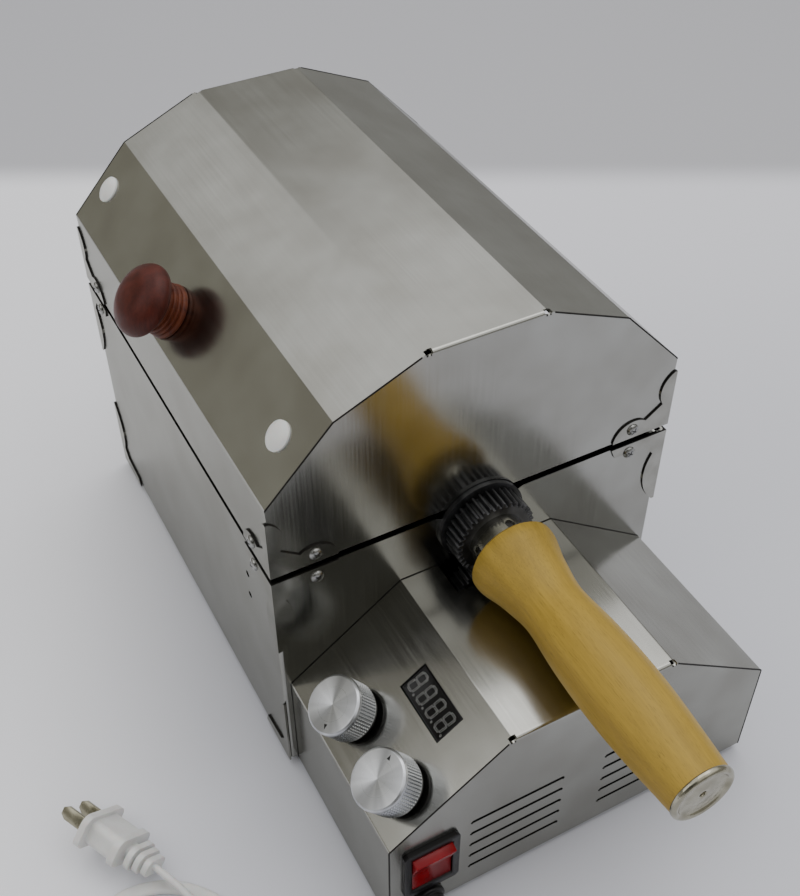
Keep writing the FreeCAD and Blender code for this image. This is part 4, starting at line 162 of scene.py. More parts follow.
@dataclass(frozen=True)
class Finish:
    """A material by what it is and how its surface was made; lengths in millimetres."""

    name: str
    colour: str
    second: str
    roughness: float
    swing: float = 0.05
    metallic: float = 0.0
    patch: float = 14.0
    grain: Grain = Grain.MOULDED
    depth: float = 0.006
    coat: float = 0.0
    clear: float = 0.0
    ior: float = 1.5
    under: float = 0.0
    gloss: float = 0.5
    grazing: str = "#ffffff"

    def material(self) -> Material:
        """Build the material once and hand out the same one afterwards."""
        if self.name in MADE:
            return MADE[self.name]
        made = MADE[self.name] = bpy.data.materials.new(self.name)
        made.use_nodes = True
        tree = made.node_tree
        shader = tree.nodes["Principled BSDF"]
        settings = {"Metallic": self.metallic, "Coat Weight": self.coat,
                    "Coat Roughness": COAT_ROUGHNESS, "Transmission Weight": self.clear,
                    "Subsurface Weight": self.under, "Subsurface Scale": SCATTER_REACH,
                    "Specular IOR Level": self.gloss, "Specular Tint": linear(self.grazing)}
        if not self.metallic:
            settings["IOR"] = self.ior
        for name, value in settings.items():
            shader.inputs[name].default_value = value
        self.dress(Skin(tree, shader, put(tree, "ShaderNodeTexCoord").outputs["Object"]))
        return made

    def dress(self, skin: Skin) -> None:
        """Lay the colour patches, the roughness and the relief on the surface."""
        self.tint(skin, self.marks(skin, (self.patch,) * 3))
        fine = self.marks(skin, self.grain.value, 3.0)
        self.polish(skin, fine)
        self.relief(skin, fine, self.depth)

    def marks(self, skin: Skin, sizes: Point, detail: float = 2.0,
              place: Optional[Socket] = None) -> Socket:
        """Random marks of a given size, from 0 to 1.

        Args:
            skin: the material's nodes.
            sizes: size of a mark along X, Y and Z in millimetres.
            detail: how many finer layers the marks have.
            place: coordinates in metres, where they aren't the object's own.
        Returns:
            The marks as a value.
        """
        scaled = put(skin.tree, "ShaderNodeMapping",
                     {"Vector": skin.place if place is None else place,
                      "Scale": tuple(1.0 / (size * MM) for size in sizes)})
        noise = put(skin.tree, "ShaderNodeTexNoise",
                    {"Vector": scaled.outputs[0], "Scale": 1.0, "Detail": detail})
        return span(skin.tree, noise.outputs[0], *NOISE)

    def tint(self, skin: Skin, amount: Socket) -> Socket:
        """Mix the two colours by an amount, feed the shader, and hand the colour back."""
        mixed = mix(skin.tree, amount, linear(self.second), linear(self.colour))
        skin.tree.links.new(mixed, skin.shader.inputs["Base Color"])
        return mixed

    def polish(self, skin: Skin, amount: Socket) -> None:
        """Let the roughness swing round its mean with the marks."""
        ends = max(self.roughness - self.swing, 0.02), self.roughness + self.swing
        rough = span(skin.tree, amount, 0.0, 1.0, ends)
        skin.tree.links.new(rough, skin.shader.inputs["Roughness"])

    def relief(self, skin: Skin, height: Socket, depth: float) -> None:
        """Press the marks into the surface, on top of any relief it already has.

        Args:
            skin: the material's nodes.
            height: the marks, from 0 to 1.
            depth: their depth in millimetres.
        """
        inputs = {"Height": height, "Distance": depth * MM, "Strength": 1.0}
        before = skin.shader.inputs["Normal"].links
        if before:
            inputs["Normal"] = before[0].from_socket
        pressed = put(skin.tree, "ShaderNodeBump", inputs)
        skin.tree.links.new(pressed.outputs[0], skin.shader.inputs["Normal"])


@dataclass(frozen=True)
class StainlessSheet(Finish):
    """Bright-annealed 304 sheet: a blurred mirror with rolling marks and a slight oil-can wave."""

    wave: float = 90.0
    wave_depth: float = 0.35

    def dress(self, skin: Skin) -> None:
        """Add the wave of thin sheet before the rolling marks."""
        self.relief(skin, self.marks(skin, (self.wave,) * 3, 0.0), self.wave_depth)
        super().dress(skin)


@dataclass(frozen=True)
class SpunMetal(Finish):
    """Metal turned on a lathe: fine rings round an axis, which draw the light into a fan."""

    centre: Point = (0.0, 0.0, 0.1183)
    axis: Point = (1.0, 0.0, 0.0)
    ring: float = 0.35

    def arms(self, skin: Skin) -> tuple[Socket, Socket]:
        """A spot's arm from the centre, and the way round the axis there."""
        arm = vector(skin.tree, "SUBTRACT", skin.place, self.centre)
        return arm, vector(skin.tree, "CROSS_PRODUCT", arm, self.axis)

    def dress(self, skin: Skin) -> None:
        """Lay the tool's rings by distance from and along the axis."""
        tree = skin.tree
        arm, around = self.arms(skin)
        way = put(tree, "ShaderNodeMath", {0: vector(tree, "LENGTH", around),
                                           1: vector(tree, "DOT_PRODUCT", arm, self.axis)},
                  operation="ADD")
        rings = put(tree, "ShaderNodeTexNoise",
                    {"W": way.outputs[0], "Scale": 1.0 / (self.ring * MM), "Detail": 2.0},
                    noise_dimensions="1D").outputs[0]
        self.tint(skin, self.marks(skin, (self.patch,) * 3))
        self.polish(skin, rings)
        self.relief(skin, rings, self.depth)


@dataclass(frozen=True)
class FacedMetal(SpunMetal):
    """Metal faced with one fine spiral cut, whose grooves blur the light outwards from the axis."""

    stretch: float = 0.8
    # Size and span of the painted highlight: light and dark sectors round the axis that copy the
    # fan.
    sectors: float = 1.7
    fan: tuple[float, float] = (0.36, 0.64)

    def dress(self, skin: Skin) -> None:
        """Add the stretched gloss to the rings, and lay the fan's light and dark sectors into the
        colour as a painted highlight.
        """
        super().dress(skin)
        skin.shader.inputs["Anisotropic"].default_value = self.stretch
        outwards = put(skin.tree, "ShaderNodeTangent", direction_type="UV_MAP", uv_map="turned")
        skin.tree.links.new(outwards.outputs[0], skin.shader.inputs["Tangent"])
        # Painted highlight: noise round the axis lays the fan's light and dark sectors into the
        # colour.
        painted_fan_sectors = put(skin.tree, "ShaderNodeTexNoise",
                    {"Vector": vector(skin.tree, "NORMALIZE", self.arms(skin)[1]),
                     "Scale": self.sectors, "Detail": 1.5})
        self.tint(skin, span(skin.tree, painted_fan_sectors.outputs[0], *self.fan))


@dataclass(frozen=True)
class TurnedWood(Finish):
    """Wood turned along its grain: long growth bands, short open pores and a worked sheen."""

    turn: Point = (0.0, 0.0, 0.0)
    band: float = 4.0
    band_length: float = 150.0
    wander: float = 6.0
    bends: float = 14.0
    fibre: Point = (40.0, 0.7, 0.7)
    fibre_share: float = 0.35
    pore: float = 0.28
    pore_length: float = 7.0
    pore_tone: float = 0.72
    pore_share: float = 0.22

    def dress(self, skin: Skin) -> None:
        """Lay the growth bands, the fibres and the pores along the grain."""
        tree = skin.tree
        along = put(tree, "ShaderNodeMapping",
                    {"Vector": skin.place,
                     "Rotation": tuple(math.radians(a) for a in self.turn)}).outputs[0]
        bend = put(tree, "ShaderNodeTexNoise", {"Vector": along, "Scale": self.bends,
                                               "Detail": 1.0})
        shift = put(tree, "ShaderNodeVectorMath", {0: bend.outputs[1], "Scale": self.wander * MM},
                    operation="SCALE")
        grown = vector(tree, "ADD", along, shift.outputs[0])
        bands = self.marks(skin, (self.band_length, self.band, self.band), 2.0, grown)
        fibres = self.marks(skin, self.fibre, 2.0, along)
        mixed = put(tree, "ShaderNodeMix", {0: self.fibre_share, 2: bands, 3: fibres},
                    data_type="FLOAT")
        colour = self.tint(skin, mixed.outputs[0])
        open_pores = self.marks(skin, (self.pore_length, self.pore, self.pore), 1.0, along)
        pores = span(tree, open_pores, 0.0, self.pore_share, (self.pore_tone, 1.0))
        tree.links.new(mix(tree, 1.0, colour, pores, "MULTIPLY"), skin.shader.inputs["Base Color"])
        self.polish(skin, fibres)
        self.relief(skin, fibres, self.depth)


@dataclass(frozen=True)
class StainedWood(TurnedWood):
    """Stained wood whose lacquer is thin over the beads, so that the neck is lighter and redder."""

    seat: Point = (-0.0052, -0.085861, 0.1777)
    axis: Point = (0.0, -0.7314, 0.682)
    thin: str = "#6f3a22"
    neck: float = 9.6
    fade: float = 1.2

    def tint(self, skin: Skin, amount: Socket) -> Socket:
        """Fade the stain from the neck to the head."""
        full = super().tint(skin, amount)
        arm = vector(skin.tree, "SUBTRACT", skin.place, self.seat)
        share = span(skin.tree, vector(skin.tree, "DOT_PRODUCT", arm, self.axis),
                     (self.neck - self.fade) * MM, (self.neck + self.fade) * MM, smooth=True)
        beads = mix(skin.tree, amount, full, linear(self.thin))
        return mix(skin.tree, share, beads, full)


# Semi-mirror sheet of the tub, lid and housing: grey with a warm cast, soft long reflections.
SHELL_STEEL = StainlessSheet("bright_annealed_stainless", "#adada8", "#a09f99", 0.195, 0.03, 1.0,
                             26.0, Grain.ROLLED, 0.0002, grazing="#d6d6d3")
# Stamped trim of the same steel, tumbled brighter, so its scallops catch small lights.
TRIM_STEEL = StainlessSheet("tumbled_stainless_trim", "#afaea8", "#9a9992", 0.19, 0.05, 1.0, 9.0,
                            Grain.FINE, 0.001, wave=14.0, wave_depth=0.03, grazing="#d6d6d3")
# Bright reflector sheet: lighter and clearer than the shell, so the heaters' glow spreads.
REFLECTOR = StainlessSheet("bright_reflector_sheet", "#d2d2cd", "#c1c1bc", 0.14, 0.04, 1.0, 40.0,
                           Grain.ROLLED, 0.0005)
# Perforated drum sheet: duller, lightly browned by heat and chaff.
DRUM_STEEL = StainlessSheet("drum_sheet_steel", "#a9a69c", "#8d877a", 0.3, 0.06, 1.0, 22.0,
                            Grain.ROLLED, 0.001, wave=60.0, wave_depth=0.1)
# Sheared sheet edge darkened to painted shade: the shade in seam gaps and under the guards' rims;
# dark grey-brown, dull, so each blank is drawn by a thin line.
SEAM_SHADE = Finish("painted_seam_shade", "#2b2825", "#1a1816", 0.55, 0.1, 0.6, 3.0, Grain.FINE,
                   0.004)
# Blacked gear steel: nearly black, oily, with a soft broad highlight on each tooth.
BLACKED = Finish("black_oxide_steel", "#5e5e60", "#3a3a3b", 0.36, 0.08, 0.8, 6.0, Grain.FINE, 0.002)
# Free-cutting steel, turned about the drum's axis: bright with fine tool rings.
TURNED = SpunMetal("turned_bright_steel", "#a9a79d", "#8e8c80", 0.24, 0.07, 1.0, 8.0, depth=0.004)
# Nickel plate on the cap: yellowish silver with a hammered softness from its stamping.
NICKEL = Finish("pressed_nickel_plate", "#aeaa99", "#918d7c", 0.2, 0.06, 1.0, 5.0, Grain.CAST, 0.02)
# Zinc-plated screws: slightly blue-grey and brighter on their domes.
ZINC = Finish("bright_zinc_plate", "#a3a3a1", "#868683", 0.25, 0.08, 1.0, 2.0, Grain.FINE, 0.002)
# Nickel-plated brass contacts of the mains plug, warm where the plate is thin.
CONTACT = Finish("nickel_plated_brass", "#aca894", "#908c79", 0.26, 0.06, 1.0, 6.0, Grain.FINE,
                 0.002)
# Maple-like hardwood, turned and oiled: yellow tan with long darker bands.
HANDLE_WOOD = TurnedWood("oiled_turned_hardwood", "#b7973f", "#94782a", 0.46, 0.07, depth=0.012,
                         gloss=0.32, band=7.0)
# Stained and lacquered hardwood of the lid knob: red-brown under a glossy film.
KNOB_WOOD = StainedWood("lacquered_stained_hardwood", "#58241a", "#34130d", 0.42, 0.06,
                        depth=0.004, gloss=0.22, turn=(0.0, 90.0, 0.0), band=5.0)
# Polyamide snap plugs: clean white, slightly soft in the light.
WHITE_NYLON = Finish("white_polyamide", "#e9e9e6", "#dcdcd8", 0.36, 0.05, under=0.1)
# Soft PVC of the mains lead and its plug: milky white with a satin skin.
WHITE_PVC = Finish("white_soft_pvc", "#e2e2e0", "#d4d4d2", 0.42, 0.06, patch=9.0, depth=0.012,
                   under=0.15)
# ABS of the switch, terminals and bushing: black with a fine moulded texture.
BLACK_ABS = Finish("black_moulded_abs", "#131113", "#0c0b0c", 0.36, 0.07, depth=0.01,
                   gloss=0.35)
# Chloroprene of the feet: dull, dusty black.
RUBBER = Finish("black_rubber", "#1d1d1c", "#2a2a28", 0.72, 0.08, grain=Grain.CAST, depth=0.03)
# Tinted polycarbonate of the rocker: deep red, glossy, with light going into it.
RED_PC = Finish("red_clear_polycarbonate", "#9c0715", "#62040d", 0.24, 0.03, clear=0.1,
                gloss=0.2, depth=0.003)
# Smoked filter of the display: black and smooth.
SMOKED = Finish("smoked_display_filter", "#131213", "#0c0b0c", 0.2, 0.03, depth=0.001,
                gloss=0.25)
# Unlit diffusing segments of the display: milky white, outlined on the dark filter.
SEGMENT = Finish("milky_led_segment", "#f2f2ee", "#e0e0da", 0.5, 0.04, depth=0.001)
# Fused silica of the heating tubes: clear with a faint haze.
QUARTZ = Finish("fused_quartz", "#f4f6f4", "#e9ece9", 0.05, 0.02, clear=0.95, ior=1.46, depth=0.002)
# Resistance wire inside the tubes: dark, oxidised metal.
WIRE = Finish("oxidised_resistance_wire", "#55504a", "#3b3733", 0.45, 0.08, 0.9)
# Steatite end holders: matt ivory white.
CERAMIC = Finish("steatite_ceramic", "#e4ded0", "#d3ccbd", 0.62, 0.06, grain=Grain.CAST, depth=0.02)
# Epoxy-glass boards: deep green with a solder-resist gloss.
BOARD = Finish("green_circuit_board", "#1f6b3f", "#17552f", 0.32, 0.05, patch=3.0, coat=0.3)
# Powder-coated case of the power supply: light grey with orange peel.
CASE = Finish("grey_powder_coat", "#a8abad", "#9b9ea0", 0.5, 0.06, grain=Grain.CAST, depth=0.03)


def spun_dial(name: str, centre: Point, axis: Point) -> FacedMetal:
    """Aluminium faced on a lathe: bright rings that fan the light about the dial's own axis."""
    # The two colours are painted highlight: the light and dark sectors of the fan round the dial's
    # axis.
    return FacedMetal(name, "#d6d8dc", "#b3b5b9", 0.3, 0.06, 1.0, 6.0, depth=0.006, centre=centre,
                      axis=axis, ring=0.45)


# --- making meshes ------------------------------------------------------------------------
# Degrees of turn above which an edge stays sharp, on folded and cut pieces and on round ones.
CREASE = 30.0
ROUND_CREASE = 35.0
# Triangles within this angle of each other are one flat face.
FLAT_ANGLE = math.radians(0.6)
# A line this near a sheet's border, in millimetres, lies on it.
NEAR = 0.05
# Least share along X of an end wall's normal, and a sloping facet's shares upwards.
UPRIGHT = 0.99
SLOPING = (0.2, 0.95)


@contextmanager
def editing(mesh: Mesh, write: bool = True) -> Iterator[bmesh.types.BMesh]:
    """Open a mesh to edit it, or only to read it.

    Args:
        mesh: the mesh.
        write: whether the changes go back into it.
    """
    work = bmesh.new()
    work.from_mesh(mesh)
    yield work
    if write:
        work.to_mesh(mesh)
    work.free()


def flattened(work: bmesh.types.BMesh) -> None:
    """Join the triangles of each flat face."""
    bmesh.ops.dissolve_limit(work, angle_limit=FLAT_ANGLE, verts=work.verts, edges=work.edges)
    work.normal_update()


def soften(mesh: Mesh, crease: float) -> Mesh:
    """Shade a mesh smooth, except over edges that turn more than the crease angle.

    Args:
        mesh: the mesh to change.
        crease: angle in degrees.
    Returns:
        The same mesh.
    """
    with editing(mesh) as work:
        for face in work.faces:
            face.smooth = True
        for edge in work.edges:
            edge.smooth = (len(edge.link_faces) == 2
                           and edge.calc_face_angle(0.0) < math.radians(crease))
    return mesh


def copied(node: str) -> Mesh:
    """Copy a CAD node's mesh with its loose triangles joined.

    Args:
        node: the CAD node.
    Returns:
        A mesh of its own, with shared corners.
    """
    mesh = frame["nodes"][node].data.copy()
    mesh.name = node + "_dressed"
    if "custom_normal" in mesh.attributes:
        mesh.attributes.remove(mesh.attributes["custom_normal"])
    with editing(mesh) as work:
        bmesh.ops.remove_doubles(work, verts=work.verts, dist=0.002 * MM)
    return mesh


def baked(data: bpy.types.ID, kind: str = "", sizes: Optional[dict[str, float]] = None,
          **settings: Any) -> Mesh:
    """Turn a mesh or curve, with or without a modifier, into a plain mesh.

    Args:
        data: the mesh or curve.
        kind: type name of the modifier.
        sizes: inputs of a node tree, by identifier.
        settings: properties of the modifier.
    Returns:
        A new mesh; the temporary object that carried the modifier is gone.
    """
    helper = shown("helper", data)
    if kind:
        step = helper.modifiers.new("step", kind)
        for name, value in settings.items():
            setattr(step, name, value)
        for key, value in (sizes or {}).items():
            step[key] = value
    seen = helper.evaluated_get(bpy.context.evaluated_depsgraph_get())
    result = bpy.data.meshes.new_from_object(seen)
    helper.modifiers.clear()
    bpy.data.objects.remove(helper)
    return result


def broken_edges(mesh: Mesh, width: float, crease: float) -> Mesh:
    """Break the sharp edges of a mesh as tumbling or moulding does.

    Args:
        mesh: the mesh to work on.
        width: width of the broken edge in millimetres.
        crease: edges that turn more than this many degrees are broken.
    Returns:
        A new mesh with small bevels.
    """
    with editing(mesh) as work:
        flattened(work)
    return soften(baked(mesh, "BEVEL", width=width * MM, segments=2, limit_method="ANGLE",
                        angle_limit=math.radians(crease)), 50.0)


def flat_faces(mesh: Mesh) -> Mesh:
    """Keep broad flat faces truly flat beside their folds, as a mirror shows any bend.

    Args:
        mesh: a mesh that is already marked smooth and sharp.
    Returns:
        A new mesh with normals that its largest faces lead.
    """
    return baked(mesh, "WEIGHTED_NORMAL", keep_sharp=True, weight=100)


def is_tall_corner(edge: bmesh.types.BMEdge, turn: float = 80.0, length: float = 12.0,
                   area: float = 200.0) -> bool:
    """Whether an edge is an upright outer corner between two broad walls.

    Args:
        edge: the edge.
        turn: least angle of the corner in degrees.
        length: least length in millimetres.
        area: least area of each wall in square millimetres.
    """
    return (len(edge.link_faces) == 2 and edge.calc_face_angle_signed(0.0) > math.radians(turn)
            and edge.calc_length() > length * MM
            and all(abs(face.normal.z) < 0.01 and face.calc_area() > area * MM * MM
                    for face in edge.link_faces))


def rounded_corners(mesh: Mesh, radius: float) -> Mesh:
    """Round the tall upright corners of a folded sheet.

    Args:
        mesh: the sheet.
        radius: outside radius of a corner in millimetres.
    Returns:
        The same mesh.
    """
    with editing(mesh) as work:
        flattened(work)
        corners = [edge for edge in work.edges if is_tall_corner(edge)]
        bmesh.ops.bevel(work, geom=corners, offset=radius * MM, segments=5, profile=0.5,
                        affect="EDGES", clamp_overlap=False)
    LOG.info("%s: %d corners", mesh.name, len(corners))
    return mesh


def seam_lines(mesh: Mesh, wanted: Callable[[Vector, Vector, Vector], bool], sink: float,
               turn: float = 35.0) -> Mesh:
    """Find the lines along which a sheet's flaps meet.

    Args:
        mesh: the sheet.
        wanted: tells from an edge's middle and its two normals whether it is a seam.
        sink: how deep in the sheet the line lies, in millimetres.
        turn: least angle between the flaps in degrees.
    Returns:
        A mesh of edges only.
    """
    ends: list[Vector] = []
    with editing(mesh, write=False) as work:
        flattened(work)
        for edge in work.edges:
            if len(edge.link_faces) != 2 or edge.calc_face_angle(0.0) <= math.radians(turn):
                continue
            first, second = (face.normal for face in edge.link_faces)
            corners = [vert.co for vert in edge.verts]
            if wanted((corners[0] + corners[1]) / 2 / MM, first, second):
                inwards = (first + second).normalized() * sink * MM
                ends += [corner - inwards for corner in corners]
    lines = bpy.data.meshes.new(mesh.name + "_lines")
    lines.from_pydata([tuple(end) for end in ends],
                      [(at, at + 1) for at in range(0, len(ends), 2)], [])
    LOG.info("%s: %d seams", mesh.name, len(ends) // 2)
    return lines


def lathe(profile: Sequence[tuple[float, float]], place: Matrix, steps: int = 72) -> Mesh:
    """Turn a profile about its own upright axis into a closed mesh.

    Args:
        profile: radius and height in millimetres, from the axis at one end to the other.
        place: matrix from the profile's frame, in metres, to the roaster's.
        steps: facets round the axis.
    Returns:
        The turned mesh.
    """
    mesh = bpy.data.meshes.new("turned")
    with editing(mesh) as work:
        spread = work.loops.layers.uv.new("turned")
        rings = []
        for radius, height in profile:
            angles = [2 * math.pi * k / steps for k in range(steps if radius > 1e-6 else 1)]
            rings.append([work.verts.new(place @ (Vector((
                radius * math.cos(a), radius * math.sin(a), height)) * MM)) for a in angles])
        for low, high in zip(rings, rings[1:]):
            for k in range(steps):
                n = (k + 1) % steps
                corners = [low[k % len(low)], low[n % len(low)], high[n % len(high)],
                           high[k % len(high)]]
                unique = list(dict.fromkeys(corners))
                if len(unique) < 3:
                    continue
                for loop in work.faces.new(unique).loops:
                    loop[spread].uv = (float(loop.vert in high), float(loop.vert in corners[1:3]))
        bmesh.ops.recalc_face_normals(work, faces=work.faces)
    return soften(mesh, 40.0)


def eased(points: Sequence[Sequence[float]], steps: int = 5) -> list[tuple[float, float]]:
    """Round the corners of a profile.

    Args:
        points: radius, height and, where a corner is rounded, its radius in millimetres.
        steps: points on each rounded corner.
    Returns:
        The profile as plain points.
    """
    path: list[tuple[float, float]] = []
    for at, point in enumerate(points):
        here = Vector(point[:2])
        if at in (0, len(points) - 1) or len(point) < 3:
            path.append(tuple(here))
            continue
        back, ahead = (Vector(points[at + way][:2]) - here for way in (-1, 1))
        reach = min(point[2], 0.49 * back.length, 0.49 * ahead.length)
        start, end = here + back.normalized() * reach, here + ahead.normalized() * reach
        for k in range(steps + 1):
            t = k / steps
            path.append(tuple(start * (1 - t) ** 2 + here * 2 * t * (1 - t) + end * t * t))
    return path


def slab(corners: Sequence[tuple[float, float]], low: float, high: float, place: Matrix) -> Mesh:
    """A flat plate from its outline.

    Args:
        corners: outline in millimetres, counterclockwise.
        low: height of its underside in millimetres.
        high: height of its face in millimetres.
        place: matrix from the outline's frame, in metres, to the roaster's.
    Returns:
        The closed plate.
    """
    mesh = bpy.data.meshes.new("plate")
    with editing(mesh) as work:
        bottom, top = ([work.verts.new(place @ (Vector((x, y, level)) * MM)) for x, y in corners]
                       for level in (low, high))
        work.faces.new(bottom[::-1])
        work.faces.new(top)
        for at in range(len(corners)):
            after = (at + 1) % len(corners)
            work.faces.new((bottom[at], bottom[after], top[after], top[at]))
        bmesh.ops.recalc_face_normals(work, faces=work.faces)
    return mesh


def joined(meshes: Iterable[Mesh]) -> Mesh:
    """Put several meshes into one."""
    result = bpy.data.meshes.new("joined")
    with editing(result) as work:
        for mesh in meshes:
            work.from_mesh(mesh)
    return result


def placed(mesh: Mesh, place: Matrix) -> Mesh:
    """Move a mesh by a matrix and return it."""
    mesh.transform(place)
    return mesh


def islands(node: str) -> list[tuple[Vector, Vector]]:
    """Lowest and highest corner of each separate solid in a CAD node.

    Args:
        node: the CAD node.
    Returns:
        Two corners for each solid, in metres.
    """
    found = []
    with editing(copied(node), write=False) as work:
        left = set(work.verts)
        while left:
            stack = [left.pop()]
            low, high = stack[0].co.copy(), stack[0].co.copy()
            while stack:
                vert = stack.pop()
                low = Vector(map(min, low, vert.co))
                high = Vector(map(max, high, vert.co))
                fresh = {edge.other_vert(vert) for edge in vert.link_edges} & left
                left -= fresh
                stack += fresh
            found.append((low, high))
    return sorted(found, key=lambda pair: tuple(pair[0]))


BODY_OF = {node: body for body, nodes in frame["record"]["behaviour"]["bodies"].items()
           for node in nodes}
SLOT_OF = {part["node"]: part["material_slot"] for part in frame["record"]["subparts"]}


def piece(name: str, mesh: Mesh, finish: Finish, stands_for: Sequence[str] = (),
          body: str = "", slot: str = "", rim_shade: Optional[Finish] = None) -> Object:
    """Make a finished piece that rides on its body.

    Args:
        name: the piece's name.
        mesh: its mesh, already in place.
        finish: its material.
        stands_for: CAD nodes that it replaces.
        body: the body that it rides on; its first node's where left out.
        slot: the record's material slot, its first node's where left out; not used.
        rim_shade: material of the faces along the sheet's cut edge, dark as painted shade.
    Returns:
        The object.
    """
    made = shown(name, mesh)
    # Faces marked for the second material take the dark finish that paints shade along the sheet's
    # edge.
    marks = [face.material_index for face in mesh.polygons] if rim_shade else []
    mesh.materials.clear()
    for layer in filter(None, (finish, rim_shade)):
        mesh.materials.append(layer.material())
    if rim_shade:
        mesh.polygons.foreach_set("material_index", marks)
    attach(made, body or BODY_OF[stands_for[0]])
    slot or SLOT_OF[stands_for[0]]
    if stands_for:
        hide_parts(*stands_for)
    LOG.info("%s: %s", name, finish.name)
    return made


def dress(finish: Finish, *nodes: str, crease: float = CREASE, edge: float = 0.0,
          flat: bool = False) -> None:
    """Dress CAD nodes in smooth copies of themselves.

    Args:
        finish: their material.
        nodes: the CAD nodes.
        crease: angle in degrees above which an edge stays sharp.
        edge: width in millimetres to which sharp edges are broken, or 0.
        flat: whether broad faces lead the shading.
    """
    for node in nodes:
        mesh = copied(node)
        mesh = broken_edges(mesh, edge, crease) if edge else soften(mesh, crease)
        piece(node + "_dressed", flat_faces(mesh) if flat else mesh, finish, (node,))


def sheet(node: str, seam: Callable[[Vector, Vector, Vector], bool], corner: float = 0.0) -> None:
    """Dress a folded sheet and draw its seams as thin dark lines of painted shade.

    Args:
        node: the CAD node.
        seam: tells which edges are seams.
        corner: radius of its upright corners in millimetres, or 0.
    """
    mesh = copied(node)
    # The seams are thin dark tubes sunk into the sheet: painted shade in the gap where its flaps
    # meet.
    lines = seam_recipe().run(seam_lines(mesh, seam, sink=0.2), SEAM_SHADE)
    if corner:
        mesh = rounded_corners(mesh, corner)
    piece(node + "_dressed", flat_faces(soften(mesh, CREASE)), SHELL_STEEL, (node,))
    piece(node + "_seams", soften(lines, 60.0), SEAM_SHADE, body=BODY_OF[node],
          slot=SLOT_OF[node])


def guard(node: str) -> None:
    """Dress stamped corner guards, whose scalloped rim shows the sheet's cut edge, dark as painted
    shade under the guard.
    """
    mesh = soften(copied(node), CREASE)
    for face in mesh.polygons:
        # Rim faces, turned along neither X nor Y, take the second material: painted shade under the
        # guard's edge.
        face.material_index = int(max(abs(face.normal.x), abs(face.normal.y)) < 0.999)
    piece(node + "_dressed", mesh, TRIM_STEEL, (node,), rim_shade=SEAM_SHADE)


def paint(finish: Finish, *nodes: str) -> None:
    """Give CAD nodes that stay as they are their material."""
    for node in nodes:
        kept = frame["nodes"][node].data
        kept.materials.clear()
        kept.materials.append(finish.material())
        LOG.info("%s: %s", node, finish.name)


# --- Geometry Nodes -----------------------------------------------------------------------
class Recipe:
    """A Geometry Nodes tree with named sizes, run once on a mesh and baked."""

    def __init__(self, name: str, **sizes: float) -> None:
        """Start the tree.

        Args:
            name: name of the tree.
            sizes: named inputs and their usual values, in metres or as counts.
        """
        self.tree = bpy.data.node_groups.new(name, "GeometryNodeTree")
        face = self.tree.interface
        face.new_socket("Geometry", in_out="INPUT", socket_type="NodeSocketGeometry")
        face.new_socket("Geometry", in_out="OUTPUT", socket_type="NodeSocketGeometry")
        self.keys = {}
        for size, value in sizes.items():
            kind = "NodeSocketInt" if isinstance(value, int) else "NodeSocketFloat"
            socket = face.new_socket(size, in_out="INPUT", socket_type=kind)
            socket.default_value = value
            self.keys[size] = socket.identifier
        self.given = put(self.tree, "NodeGroupInput").outputs
        self.finish = put(self.tree, "GeometryNodeSetMaterial")
        end = put(self.tree, "NodeGroupOutput")
        self.tree.links.new(self.finish.outputs[0], end.inputs[0])

    def node(self, kind: str, inputs: Optional[dict] = None, **settings: Any) -> Socket:
        """Add a node and return its first output."""
        return put(self.tree, kind, inputs, **settings).outputs[0]

    def times(self, value: Socket, factor: float) -> Socket:
        """Multiply a value."""
        return self.node("ShaderNodeMath", {0: value, 1: factor}, operation="MULTIPLY")

    def xyz(self, x: Any = 0.0, y: Any = 0.0, z: Any = 0.0) -> Socket:
        """Put three values into a vector."""
        return self.node("ShaderNodeCombineXYZ", {0: x, 1: y, 2: z})

    def fact(self, name: str, kind: str = "FLOAT") -> Socket:
        """A named fact of each point."""
        return self.node("GeometryNodeInputNamedAttribute", {"Name": name}, data_type=kind)

    def block(self, size: Socket, at: Socket) -> Socket:
        """A box of a size at a place."""
        box = self.node("GeometryNodeMeshCube", {"Size": size})
        return self.node("GeometryNodeTransform", {"Geometry": box, "Translation": at})

    def spread(self, points: Socket, instance: Socket, **inputs: Any) -> Socket:
        """Put an instance on each point."""
        return self.node("GeometryNodeInstanceOnPoints",
                         {"Points": points, "Instance": instance, **inputs})

    def sweep(self, path: Socket, section: Socket, caps: bool = True) -> Socket:
        """Draw a section along a path."""
        return self.node("GeometryNodeCurveToMesh",
                         {"Curve": path, "Profile Curve": section, "Fill Caps": caps})

    def ring(self, sides: int, radius: Socket) -> Socket:
        """A round section with a number of sides."""
        return self.node("GeometryNodeCurvePrimitiveCircle",
                         {"Resolution": sides, "Radius": radius})

    def oblong(self, width: Socket, height: Socket) -> Socket:
        """A rectangular curve."""
        return self.node("GeometryNodeCurvePrimitiveQuadrilateral",
                         {"Width": width, "Height": height}, mode="RECTANGLE")

    def real(self, geometry: Socket) -> Socket:
        """Turn instances into plain geometry."""
        return self.node("GeometryNodeRealizeInstances", {0: geometry})

    def end_with(self, geometry: Socket) -> "Recipe":
        """Realize the instances and send them through the material to the output."""
        self.tree.links.new(self.real(geometry), self.finish.inputs[0])
        return self

    def run(self, mesh: Mesh, finish: Finish, **sizes: float) -> Mesh:
        """Run the tree on a mesh.

        Args:
            mesh: what goes in.
            finish: material of the result.
            sizes: named inputs that differ from the usual.
        Returns:
            The plain mesh that comes out.
        """
        self.finish.inputs["Material"].default_value = finish.material()
        inputs = {self.keys[size]: value for size, value in sizes.items()}
        return baked(mesh, "NODES", inputs, node_group=self.tree)


